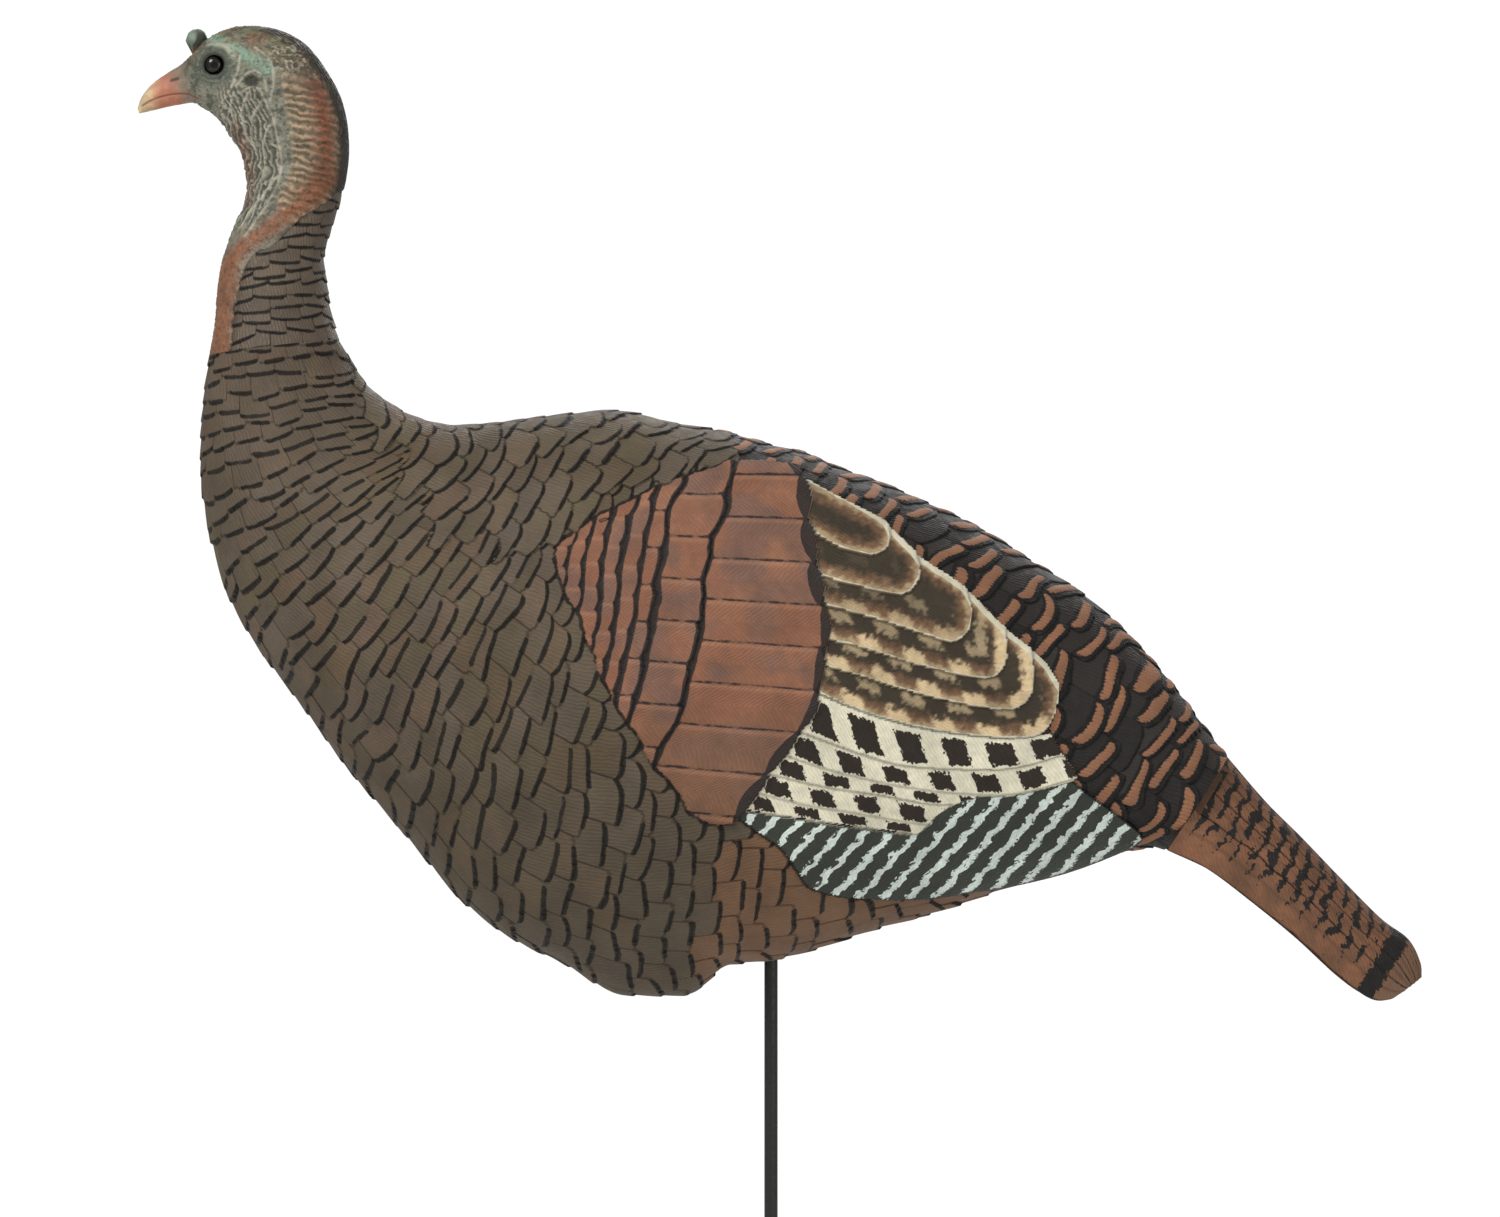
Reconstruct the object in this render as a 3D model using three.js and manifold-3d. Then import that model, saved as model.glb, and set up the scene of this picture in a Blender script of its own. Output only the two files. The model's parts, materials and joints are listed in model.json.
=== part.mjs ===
// A hen turkey decoy on a two-piece ground stake, in millimetres.
// Frame: +Z is up, the bird faces -X, its left side is -Y. The origin is on the stake's axis at ground level.
import * as THREE from "three";
import { mergeVertices } from "three/addons/utils/BufferGeometryUtils.js";
import Module from "manifold-3d";

const wasm = await Module();
wasm.setup();

// ---------------------------------------------------------------- driving dimensions

const WALL = 2.6; // moulded shell wall
const GAP = 0.3; // clearance between neighbouring pieces
const FACETS = 24; // sides of a turned part
const FAR = 1000; // outside every piece: cutting shapes reach this far where their length is free
const CUT = 2; // how far a cutting shape runs past the face that it opens

const ROD_R = 4; // 8 mm steel stake
const SPIKE_Z = -210; // point of the stake, below ground
const SPIKE_LENGTH = 26;
const ROD_JOIN_Z = 36; // where the two rods meet inside the ferrule
const FERRULE = { radius: 6.5, bottom: 5.3, top: 86, chamfer: 1, chamferHeight: 2 };
const FERRULE_PIN = { radius: 1.25, length: 15, z: 20 };
const STEP = { length: 74, width: 22, thickness: 5, heel: 10, prong: 46, prongWidth: 10, point: 12 };

const RECEIVER = { bore: 4.6, radius: 7, bottom: 269.5, top: 450, collar: 12, collarHeight: 3 };
const RECEIVER_MOUTH = { flare: 1.4, depth: 10 }; // the bore widens towards its lower end
const RECEIVER_FLANGE = { radius: 20, height: 3 };
const BELLY_HOLE_TOP = 285; // the hole for the receiver goes up through the shell to here
const LOWER_RIB_Z = 300;
const UPPER_RIB_Z = 424;
const RIB_THICKNESS = 3;
const RIB_REACH = 34; // how far a rib goes fore and aft of the stake

const HOUSING = { radius: 20, bore: 14.5, bottom: 450.3, top: 476.6, cap: 4 };
const HUB = { radius: 14.2, bottom: 450.8, top: 474, socketTop: 470.3, play: 0.4, pinPlay: 0.2 };
const ROD_TOP = 470;
const ROD_FLAT = 2.8; // half the width across the two flats on the rod's top end
const FLAT_LENGTH = 18;
const WASHER = { radius: 12, hole: 3.5, bottom: 474.3, height: 2 };
const LIMIT_PIN = { radius: 2, from: 6.5, to: 22.5, z: 464 };
const SWIVEL_LIMIT = 45; // degrees each way
const WINDOW_SPARE = 10; // degrees that the window is longer than the swing, for the pin's own width
const SCREW = { radius: 1.4, hole: 1.65, head: 2.7, headHeight: 2, circle: 17.2, bottom: 448 };
const SCREW_ANGLES = [100, 180, 260];
const SCREW_FACETS = 12;

const COLLAR = { radius: 32.6, bore: 22.3, top: -2, height: 12 };
const BUSHING = { radius: 22, bore: 16.3, flange: 26, lip: 23.4, lipDepth: 3.5 };
const SPIGOT = { radius: 16, bore: 12.5, length: 40, key: 4.4, keyDepth: 2, keyStart: 4 };
const HEAD_PLUG = { radius: 30.8, height: 7 };
const LEDGE = { bore: 27, reach: 60, top: -14.5, thickness: 4 };

const DOME_STEPS = 5;
const EYE = { x: -333, z: 805, radius: 5.6, out: 16.6, stem: 3, dome: 3.1 };
const SNOOD = { x: -345.5, z: 821.5, rx: 5.4, ry: 4.8, rz: 7.2 };

const DOWEL = { radius: 2.4, reach: 9, boss: 5.4, bossReach: 11, inset: 7 };
// Locating dowels on the centre seam: the cross-section each is at, and the end of its chord.
const DOWELS = [
  [3, "low"],
  [8, "low"],
  [12, "high"],
  [17, "low"],
  [19, "high"],
];
const TAIL_PIN = { x: 243, z: 371, radius: 3, length: 76, boss: 7, socket: 30 };

// The keel: a rounded swelling under the breast.
const KEEL = { front: -134, full: -88, end: -52, back: -24, depth: 15.8, halfWidth: 46 };

// Cross-sections from the neck joint to the rump. Each has the ends of its chord in the centre plane, low [x, z]
// and high [x, z], its half width, its fullness (2 is an ellipse) and how far up its widest place is shifted.
const BODY_SECTIONS = [
  { low: [-336, 632], high: [-260, 641], half: 35.5, full: 2.0, lift: 0 },
  { low: [-339, 608], high: [-247, 617], half: 39, full: 2.0, lift: 0 },
  { low: [-341, 581], high: [-232, 603], half: 45, full: 2.0, lift: 0 },
  { low: [-340, 551], high: [-214, 593], half: 52, full: 2.05, lift: -0.03 },
  { low: [-334, 518], high: [-193, 588], half: 60, full: 2.1, lift: -0.04 },
  { low: [-323, 485], high: [-169, 589], half: 69, full: 2.1, lift: -0.04 },
  { low: [-305, 455], high: [-145, 592], half: 78, full: 2.15, lift: -0.03 },
  { low: [-280, 422], high: [-121, 595], half: 86, full: 2.2, lift: 0 },
  { low: [-250, 382], high: [-100, 597], half: 93, full: 2.25, lift: 0.04 },
  { low: [-217, 344], high: [-79, 595], half: 99, full: 2.3, lift: 0.08 },
  { low: [-181, 303], high: [-61, 590], half: 104, full: 2.3, lift: 0.12 },
  { low: [-142, 277], high: [-43, 587], half: 107, full: 2.3, lift: 0.14 },
  { low: [-109, 268], high: [-25, 584], half: 109, full: 2.3, lift: 0.16 },
  { low: [-79, 265], high: [-4, 578], half: 110, full: 2.3, lift: 0.16 },
  { low: [-49, 265.5], high: [17, 573], half: 110, full: 2.3, lift: 0.16 },
  { low: [-28, 267.5], high: [41, 563], half: 109, full: 2.3, lift: 0.15 },
  { low: [11, 273], high: [71, 552], half: 106, full: 2.3, lift: 0.14 },
  { low: [59, 288], high: [101, 539], half: 100, full: 2.25, lift: 0.12 },
  { low: [101, 300], high: [128, 525], half: 91, full: 2.2, lift: 0.08 },
  { low: [143, 314], high: [155, 508], half: 80, full: 2.15, lift: 0.04 },
  { low: [182, 325], high: [188, 487], half: 67, full: 2.1, lift: 0.02 },
  { low: [212, 335], high: [215, 462], half: 55, full: 2.05, lift: 0 },
  { low: [227, 338], high: [242, 431], half: 46, full: 2.0, lift: 0 },
  { low: [236, 336], high: [272, 391], half: 40, full: 2.0, lift: 0 },
];

// Cross-sections from the neck joint over the crown to the tip of the beak.
const HEAD_SECTIONS = [
  { low: [-336, 632], high: [-260, 641], half: 35.5, full: 2.0, lift: 0 },
  { low: [-332, 654], high: [-264, 655], half: 32.5, full: 2.0, lift: 0 },
  { low: [-331, 671], high: [-267, 672], half: 30.5, full: 2.0, lift: 0 },
  { low: [-328, 690], high: [-269, 692], half: 28.5, full: 2.0, lift: 0 },
  { low: [-323, 706], high: [-265, 707], half: 27, full: 2.0, lift: 0 },
  { low: [-316, 721], high: [-260, 722], half: 26, full: 2.0, lift: 0 },
  { low: [-314, 734], high: [-256, 737], half: 25.5, full: 2.0, lift: 0 },
  { low: [-317, 752], high: [-254, 755], half: 25, full: 2.0, lift: 0 },
  { low: [-323, 762], high: [-256, 776], half: 25, full: 2.0, lift: 0 },
  { low: [-329, 771], high: [-263, 795], half: 25, full: 2.1, lift: 0 },
  { low: [-336, 778], high: [-280, 818], half: 24, full: 2.2, lift: 0.04 },
  { low: [-341, 781], high: [-302, 828], half: 22, full: 2.3, lift: 0.08 },
  { low: [-344, 783], high: [-323, 828], half: 19, full: 2.3, lift: 0.1 },
  { low: [-347, 783.5], high: [-338, 821], half: 15.5, full: 2.2, lift: 0.1 },
  { low: [-351, 783], high: [-350, 809], half: 11, full: 2.1, lift: 0.05 },
  { low: [-359, 781.5], high: [-361, 802], half: 7.5, full: 2.0, lift: 0 },
  { low: [-368, 779.5], high: [-371, 795], half: 5.2, full: 2.0, lift: 0 },
  { low: [-375, 777.8], high: [-377.5, 787], half: 3.2, full: 2.0, lift: 0 },
  { low: [-379, 777], high: [-380, 780], half: 1.2, full: 2.0, lift: 0 },
];
const HEAD_HOLLOW_SECTIONS = 12; // the hollow ends behind the beak, which is solid
const HEAD_STEPS = 36;
const HEAD_AROUND = 20;
const HEAD_OVERRUN = 0.01; // the hollow runs past the joint by this share of the loft

// The folded tail is roof-shaped. Each section runs from its lower edges [x, z] to its ridge [x, z].
const TAIL_SECTIONS = [
  { low: [236, 336], high: [272, 391], half: 40 },
  { low: [263, 323], high: [296, 363], half: 38 },
  { low: [290, 303], high: [317, 342], half: 38 },
  { low: [317, 281], high: [341, 317], half: 39 },
  { low: [342, 258], high: [365, 293], half: 38 },
  { low: [359, 247.5], high: [378, 277], half: 29 },
  { low: [371, 247], high: [388, 263], half: 14 },
];
const TAIL_THICKNESS = 4.5;
const TAIL_RIDGE_SHARE = 1.2; // thickness at the ridge, as a share of that at the sides
const TAIL_THINNING = 0.5; // share of the thickness lost by the tip
// The roof's cross-section from its lower edge to its ridge: [share of half width, share of the chord].
const TAIL_ROOF = [
  [1.0, 0.0],
  [0.96, 0.3],
  [0.8, 0.62],
  [0.5, 0.87],
  [0.25, 0.965],
  [0.0, 1.0],
];
const TAIL_LUG = { inner: 14, outer: 26, from: 0.955, bottom: 352, top: 392 };
const BULKHEAD = { from: 1.0008, to: 1.008, inset: 0.6 }; // closes the rump, in shares of the body's length
const RUMP_CUT = { from: 0.9, spare: 6 }; // keeps the roof clear of the shells

// ---------------------------------------------------------------- materials

function paint(color, roughness, metalness = 0) {
  return new THREE.MeshStandardMaterial({ color, roughness, metalness });
}

const plumage = paint(0x5f564a, 0.75);
const skin = paint(0x8a8374, 0.6);
const tailPaint = paint(0x7a5840, 0.75);
const eyeGlass = paint(0x1c1714, 0.1);
const blackSteel = paint(0x2b2d24, 0.45, 0.6);
const zinc = paint(0x9a9a96, 0.4, 0.9);
const nylon = paint(0xd8d4c8, 0.5);
const blackPlastic = paint(0x242424, 0.5);

// ---------------------------------------------------------------- solids

// A closed mesh from vertices and triangles, as a solid, whichever way round the triangles are wound.
function solidOfArrays(vertices, triangles) {
  const vertProperties = new Float32Array(vertices.flat());
  const make = (faces) => {
    const triVerts = new Uint32Array(faces.flat());
    return new wasm.Manifold(new wasm.Mesh({ numProp: 3, vertProperties, triVerts }));
  };
  const made = make(triangles);
  return made.volume() > 0 ? made : make(triangles.map(([a, b, c]) => [a, c, b]));
}

// A three.js geometry as a solid, after an optional matrix.
function solid(geometry, matrix = new THREE.Matrix4()) {
  const bare = geometry.clone();
  bare.deleteAttribute("normal");
  bare.deleteAttribute("uv");
  const merged = mergeVertices(bare.applyMatrix4(matrix), 1e-4);
  const mesh = new wasm.Mesh({
    numProp: 3,
    vertProperties: merged.attributes.position.array,
    triVerts: new Uint32Array(merged.index.array),
  });
  return new wasm.Manifold(mesh);
}

function geometryOf(manifold) {
  const mesh = manifold.getMesh();
  const vertices = new Float32Array(mesh.numVert * 3);
  for (let i = 0; i < mesh.numVert; i += 1) {
    const start = i * mesh.numProp;
    vertices.set(mesh.vertProperties.subarray(start, start + 3), i * 3);
  }
  const geometry = new THREE.BufferGeometry();
  geometry.setAttribute("position", new THREE.BufferAttribute(vertices, 3));
  geometry.setIndex(new THREE.BufferAttribute(mesh.triVerts, 1));
  geometry.computeVertexNormals();
  return geometry;
}

function moved(x, y, z) {
  return new THREE.Matrix4().makeTranslation(x, y, z);
}

// A turned solid about Z. The profile is a list of [radius, z], going once round the section anticlockwise.
function turned(profile, facets = FACETS) {
  const points = profile.map(([r, z]) => new THREE.Vector2(r, z));
  const lathe = new THREE.LatheGeometry(points.concat(points[0].clone()), facets);
  return solid(lathe.rotateX(Math.PI / 2));
}

// A cylinder about Z between two heights.
function bar(radius, bottom, top, x = 0, y = 0, facets = FACETS) {
  const shape = new THREE.CylinderGeometry(radius, radius, top - bottom, facets);
  shape.rotateX(Math.PI / 2);
  return solid(shape, moved(x, y, (bottom + top) / 2));
}

// A cylinder along Y between two places.
function crossBar(radius, x, z, from, to, facets = 16) {
  const shape = new THREE.CylinderGeometry(radius, radius, to - from, facets);
  return solid(shape, moved(x, (from + to) / 2, z));
}

function block(x0, x1, y0, y1, z0, z1) {
  const shape = new THREE.BoxGeometry(x1 - x0, y1 - y0, z1 - z0);
  return solid(shape, moved((x0 + x1) / 2, (y0 + y1) / 2, (z0 + z1) / 2));
}

// The neck joint's own frame: the origin at the middle of the first cross-section, Z square to it.
const neck = new THREE.Group();
const [{ low: neckFront, high: neckBack }] = BODY_SECTIONS;
neck.position.set((neckFront[0] + neckBack[0]) / 2, 0, (neckFront[1] + neckBack[1]) / 2);
neck.rotation.y = -Math.atan2(neckBack[1] - neckFront[1], neckBack[0] - neckFront[0]);
neck.updateMatrix();

function fromNeckFrame(manifold) {
  return manifold.transform(neck.matrix.elements.slice());
}

// ---------------------------------------------------------------- swept bodies

// A smooth curve through points, from 0 to 1, that runs on straight past both ends.
function curveThrough(points) {
  const curve = new THREE.CatmullRomCurve3(points, false, "catmullrom", 0.5);
  return (t) => {
    const inside = THREE.MathUtils.clamp(t, 0, 1);
    const end = curve.getPoint(inside);
    if (inside === t) return end;
    const step = inside > 0.5 ? 0.999 : 0.001;
    const slope = end.clone().sub(curve.getPoint(step)).divideScalar(0.001);
    return end.addScaledVector(slope, Math.abs(t - inside));
  };
}

// The section table as smooth curves that share one parameter, from 0 to 1.
function loft(sections) {
  const low = curveThrough(sections.map((s) => new THREE.Vector3(s.low[0], 0, s.low[1])));
  const high = curveThrough(sections.map((s) => new THREE.Vector3(s.high[0], 0, s.high[1])));
  const shape = curveThrough(sections.map((s) => new THREE.Vector3(s.half, s.full ?? 2, s.lift ?? 0)));
  return (t) => {
    const a = low(t);
    const b = high(t);
    const { x: half, y: full, z: lift } = shape(t);
    const middle = a.clone().add(b).multiplyScalar(0.5);
    return { middle, reach: b.sub(a).multiplyScalar(0.5), half, full, lift };
  };
}

const smoothStep = THREE.MathUtils.smoothstep;

function keelDepth(x, y) {
  const along = smoothStep(x, KEEL.front, KEEL.full) * (1 - smoothStep(x, KEEL.end, KEEL.back));
  const across = Math.max(0, 1 - (y / KEEL.halfWidth) ** 2) ** 2;
  return KEEL.depth * along * across;
}

// A point of a section: angle runs from -90 (below) to 90 (above), on the side given by its sign.
// Inset moves it inwards.
function sectionPoint(section, angle, side, inset, keel) {
  const { middle, reach, half, full, lift } = section;
  const power = 2 / full;
  const rise = Math.sign(Math.sin(angle)) * Math.abs(Math.sin(angle)) ** power;
  const spread = Math.max(0, Math.cos(angle)) ** power;
  const shifted = rise + lift * (1 - rise * rise);
  const length = reach.length();
  const point = middle.clone().addScaledVector(reach, (shifted * (length - inset)) / length);
  const y = (half - inset) * spread;
  if (keel && rise < 0) point.z -= keelDepth(point.x, y);
  return [point.x, side * y, point.z];
}

// A closed solid lofted through full rings.
function loftSolid(at, from, to, steps, around, inset, keel = false) {
  const vertices = [];
  const triangles = [];
  for (let i = 0; i <= steps; i += 1) {
    const section = at(from + ((to - from) * i) / steps);
    for (let j = 0; j < around; j += 1) {
      const turn = (2 * Math.PI * j) / around;
      const side = turn <= Math.PI ? -1 : 1;
      const angle = side < 0 ? turn - Math.PI / 2 : (3 * Math.PI) / 2 - turn;
      vertices.push(sectionPoint(section, angle, side, inset, keel));
    }
  }
  const ring = (i, j) => i * around + (j % around);
  for (let i = 0; i < steps; i += 1) {
    for (let j = 0; j < around; j += 1) {
      triangles.push([ring(i, j), ring(i + 1, j), ring(i + 1, j + 1)]);
      triangles.push([ring(i, j), ring(i + 1, j + 1), ring(i, j + 1)]);
    }
  }
  for (const [i, flip] of [[0, false], [steps, true]]) {
    const centre = vertices.length;
    const first = vertices.slice(ring(i, 0), ring(i, 0) + around);
    vertices.push([0, 1, 2].map((k) => first.reduce((sum, p) => sum + p[k], 0) / around));
    for (let j = 0; j < around; j += 1) {
      const pair = [ring(i, j), ring(i, j + 1)];
      triangles.push(flip ? [pair[1], pair[0], centre] : [pair[0], pair[1], centre]);
    }
  }
  return solidOfArrays(vertices, triangles);
}

// ---------------------------------------------------------------- body shells

const bodyAt = loft(BODY_SECTIONS);
const BODY_STEPS = 44;
const BODY_AROUND = 24;
const OVERRUN = 0.004; // the hollow runs past the open ends by this share of the loft

const bodyOuter = loftSolid(bodyAt, 0, 1, BODY_STEPS, BODY_AROUND, 0, true);
const bodyHollow = loftSolid(bodyAt, -OVERRUN, 1 + OVERRUN, BODY_STEPS, BODY_AROUND, WALL, true);
const bodyCore = loftSolid(bodyAt, 0, 1, BODY_STEPS, BODY_AROUND, WALL / 2, true);

// A flat shelf across the hollow that holds the receiver tube.
function rib(z) {
  const slab = block(-RIB_REACH, RIB_REACH, -FAR, FAR, z, z + RIB_THICKNESS);
  return bodyCore.intersect(slab).subtract(bar(RECEIVER.radius + GAP, z - CUT, z + RIB_THICKNESS + CUT));
}

// The ledge inside the neck that the collar sits on.
function neckLedge() {
  const slab = fromNeckFrame(bar(LEDGE.reach, LEDGE.top - LEDGE.thickness, LEDGE.top));
  const hole = fromNeckFrame(bar(LEDGE.bore, LEDGE.top - LEDGE.thickness - CUT, LEDGE.top + CUT));
  return bodyCore.intersect(slab).subtract(hole);
}

// The centre of a locating dowel, [x, z], set in from the end of a cross-section's chord.
function dowelPlace([index, end]) {
  const { low, high } = BODY_SECTIONS[index];
  const [from, to] = end === "low" ? [low, high] : [high, low];
  const share = DOWEL.inset / Math.hypot(to[0] - from[0], to[1] - from[1]);
  return [from[0] + share * (to[0] - from[0]), from[1] + share * (to[1] - from[1])];
}

// A boss along Y, cut to the inside of the shell.
function boss(x, z, radius, from, to) {
  return bodyCore.intersect(crossBar(radius, x, z, from, to));
}

function bodyShells() {
  let whole = bodyOuter.subtract(bodyHollow);
  for (const z of [LOWER_RIB_Z, UPPER_RIB_Z]) whole = whole.add(rib(z));
  whole = whole.add(neckLedge());
  for (const [x, z] of DOWELS.map(dowelPlace)) {
    const hole = DOWEL.reach + GAP;
    whole = whole.add(boss(x, z, DOWEL.boss, -DOWEL.bossReach, DOWEL.bossReach));
    whole = whole.subtract(crossBar(DOWEL.radius + GAP, x, z, -hole, hole));
  }
  // Sockets on the side walls take the ends of the tail's cross pin.
  const { x, z, radius, length, socket } = TAIL_PIN;
  whole = whole.add(boss(x, z, TAIL_PIN.boss, -FAR, -socket)).add(boss(x, z, TAIL_PIN.boss, socket, FAR));
  whole = whole.subtract(crossBar(radius + GAP, x, z, -length / 2 - GAP, length / 2 + GAP));
  whole = whole.subtract(bar(RECEIVER.radius + GAP, 0, BELLY_HOLE_TOP));
  const leftHalf = block(-FAR, FAR, -FAR, -GAP / 2, 0, FAR);
  const rightHalf = block(-FAR, FAR, GAP / 2, FAR, 0, FAR);
  return [whole.intersect(leftHalf), whole.intersect(rightHalf)];
}

// ---------------------------------------------------------------- tail

// The arched roof of folded feathers, as one closed strip that goes out along the top and back underneath.
function tailRoof() {
  const at = loft(TAIL_SECTIONS);
  const steps = 2 * (TAIL_SECTIONS.length - 1);
  const outline = [...TAIL_ROOF, ...TAIL_ROOF.slice(0, -1).reverse().map(([w, h]) => [-w, h])];
  const around = 2 * outline.length;
  const vertices = [];
  const triangles = [];
  for (let i = 0; i <= steps; i += 1) {
    const { middle, reach, half } = at(i / steps);
    const length = 2 * reach.length();
    const thickness = TAIL_THICKNESS * (1 - (TAIL_THINNING * i) / steps);
    const along = (share, across) => {
      const p = middle.clone().addScaledVector(reach, 2 * share - 1);
      vertices.push([p.x, across, p.z]);
    };
    for (const [w, h] of outline) along(h, w * half);
    const under = 1 - (TAIL_RIDGE_SHARE * thickness) / length;
    for (const [w, h] of outline.slice().reverse()) along(h * under, w * (half - thickness));
  }
  const ring = (i, j) => i * around + (j % around);
  const quad = (a, b, c, d) => triangles.push([a, b, c], [a, c, d]);
  for (let i = 0; i < steps; i += 1) {
    for (let j = 0; j < around; j += 1) quad(ring(i, j), ring(i, j + 1), ring(i + 1, j + 1), ring(i + 1, j));
  }
  // The two ends are closed by pairing each point above with the one below it.
  for (let j = 0; j < outline.length - 1; j += 1) {
    const below = around - 1 - j;
    quad(ring(0, j), ring(0, below), ring(0, below - 1), ring(0, j + 1));
    quad(ring(steps, j), ring(steps, j + 1), ring(steps, below - 1), ring(steps, below));
  }
  return solidOfArrays(vertices, triangles);
}

// The roof, the bulkhead that closes the rump and the two lugs that the cross pin holds.
function tailFan() {
  const rump = loftSolid(bodyAt, RUMP_CUT.from, BULKHEAD.from, 6, BODY_AROUND, -RUMP_CUT.spare);
  const bulkhead = loftSolid(bodyAt, BULKHEAD.from, BULKHEAD.to, 1, BODY_AROUND, BULKHEAD.inset);
  const plug = loftSolid(bodyAt, TAIL_LUG.from, BULKHEAD.to, 4, BODY_AROUND, WALL + 2 * GAP);
  const lugs = [-1, 1].map((side) => {
    const edges = [side * TAIL_LUG.inner, side * TAIL_LUG.outer].sort((a, b) => a - b);
    return plug.intersect(block(0, FAR, ...edges, TAIL_LUG.bottom, TAIL_LUG.top));
  });
  const hole = crossBar(TAIL_PIN.radius + GAP, TAIL_PIN.x, TAIL_PIN.z, -FAR, FAR);
  return tailRoof().subtract(rump).add(bulkhead).add(lugs[0]).add(lugs[1]).subtract(hole);
}

// ---------------------------------------------------------------- head

function headShell() {
  const at = loft(HEAD_SECTIONS);
  const hollowEnd = HEAD_HOLLOW_SECTIONS / (HEAD_SECTIONS.length - 1);
  const outer = loftSolid(at, 0, 1, HEAD_STEPS, HEAD_AROUND, 0);
  const hollowSteps = Math.round(HEAD_STEPS * hollowEnd);
  const hollow = loftSolid(at, -HEAD_OVERRUN, hollowEnd, hollowSteps, HEAD_AROUND, WALL);
  const snood = new THREE.SphereGeometry(1, 12, 8).scale(SNOOD.rx, SNOOD.ry, SNOOD.rz);
  const bump = solid(snood, moved(SNOOD.x, 0, SNOOD.z));
  const joint = fromNeckFrame(block(-FAR, FAR, -FAR, FAR, -FAR, GAP));
  const back = EYE.out - EYE.stem - GAP;
  const sockets = [-1, 1].map((side) => {
    const ends = [side * back, side * FAR].sort((a, b) => a - b);
    return crossBar(EYE.radius + GAP, EYE.x, EYE.z, ...ends);
  });
  return outer.add(bump).subtract(hollow).subtract(joint).subtract(sockets[0]).subtract(sockets[1]);
}

// A domed eye with a stem behind it, looking along +Z.
function eye() {
  const profile = [[0, -EYE.stem], [EYE.radius, -EYE.stem], [EYE.radius, 0]];
  for (let i = 1; i < DOME_STEPS; i += 1) {
    const angle = ((i / DOME_STEPS) * Math.PI) / 2;
    profile.push([EYE.radius * Math.cos(angle), EYE.dome * Math.sin(angle)]);
  }
  profile.push([0, EYE.dome]);
  return turned(profile);
}

// Two keys, or keyways, at the sides of a round spigot or bore.
function keys(reach, width, bottom, top) {
  return block(-width / 2, width / 2, -reach, reach, bottom, top);
}

function neckCollar() {
  const { radius, bore, top, height } = COLLAR;
  return turned([[bore, top - height], [radius, top - height], [radius, top], [bore, top]]);
}

function neckBushing() {
  const { radius, bore, flange, lip, lipDepth } = BUSHING;
  const bottom = COLLAR.top - COLLAR.height;
  const profile = [
    [bore, bottom - lipDepth],
    [lip, bottom - lipDepth],
    [lip, bottom - GAP],
    [radius, bottom - GAP],
    [radius, COLLAR.top + GAP],
    [flange, COLLAR.top + GAP],
    [flange, -GAP],
    [bore, -GAP],
  ];
  const keyway = keys(SPIGOT.radius + SPIGOT.keyDepth + GAP, SPIGOT.key + 2 * GAP, -FAR, FAR);
  return turned(profile).subtract(keyway);
}

function headPlug() {
  const { radius, bore, length, key, keyDepth, keyStart } = SPIGOT;
  const profile = [
    [bore, -length],
    [radius, -length],
    [radius, GAP],
    [HEAD_PLUG.radius, GAP],
    [HEAD_PLUG.radius, HEAD_PLUG.height],
    [bore, HEAD_PLUG.height],
  ];
  const inside = bar((bore + radius) / 2, -length, HEAD_PLUG.height);
  const rails = keys(radius + keyDepth, key, -length + keyStart, 2 * GAP).subtract(inside);
  return turned(profile).add(rails);
}

// ---------------------------------------------------------------- stake receiver and swivel

function receiver() {
  const { bore, radius, bottom, top, collar, collarHeight } = RECEIVER;
  const under = LOWER_RIB_Z - GAP;
  const over = LOWER_RIB_Z + RIB_THICKNESS + GAP;
  const profile = [
    [bore + RECEIVER_MOUTH.flare, bottom],
    [radius, bottom],
    [radius, under - collarHeight],
    [collar, under - collarHeight],
    [collar, under],
    [radius, under],
    [radius, over],
    [collar, over],
    [collar, over + collarHeight],
    [radius, over + collarHeight],
    [radius, top - RECEIVER_FLANGE.height],
    [RECEIVER_FLANGE.radius, top - RECEIVER_FLANGE.height],
    [RECEIVER_FLANGE.radius, top],
    [bore, top],
    [bore, bottom + RECEIVER_MOUTH.depth],
  ];
  return withScrewHoles(turned(profile));
}

function withScrewHoles(manifold) {
  return SCREW_ANGLES.reduce((made, angle) => {
    const [x, y] = screwPlace(angle);
    return made.subtract(bar(SCREW.hole, -FAR, FAR, x, y, SCREW_FACETS));
  }, manifold);
}

// Where a housing screw stands, [x, y].
function screwPlace(angle) {
  const turn = THREE.MathUtils.degToRad(angle);
  return [SCREW.circle * Math.cos(turn), SCREW.circle * Math.sin(turn)];
}

// The window in the housing's front wall that the limiter pin swings in.
function limiterWindow() {
  const half = THREE.MathUtils.degToRad(SWIVEL_LIMIT + WINDOW_SPARE);
  const shape = new THREE.Shape();
  shape.absarc(0, 0, HOUSING.radius + CUT, -half, half, false);
  shape.absarc(0, 0, HOUSING.bore - CUT, half, -half, true);
  shape.closePath();
  const height = 2 * (LIMIT_PIN.radius + GAP);
  const options = { depth: height, bevelEnabled: false, curveSegments: FACETS / 2 };
  const cut = new THREE.ExtrudeGeometry(shape, options);
  return solid(cut, moved(0, 0, LIMIT_PIN.z - height / 2));
}

function swivelHousing() {
  const { radius, bore, bottom, top } = HOUSING;
  const wall = turned([[bore, bottom], [radius, bottom], [radius, top], [bore, top]]);
  return withScrewHoles(wall.subtract(limiterWindow()));
}

function housingCap() {
  const bottom = HOUSING.top + GAP;
  return withScrewHoles(bar(HOUSING.radius, bottom, bottom + HOUSING.cap));
}

function housingScrew() {
  const seat = HOUSING.top + 2 * GAP + HOUSING.cap;
  const head = bar(SCREW.head, seat, seat + SCREW.headHeight);
  return head.add(bar(SCREW.radius, SCREW.bottom, seat + SCREW.headHeight / 2, 0, 0, SCREW_FACETS));
}

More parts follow.
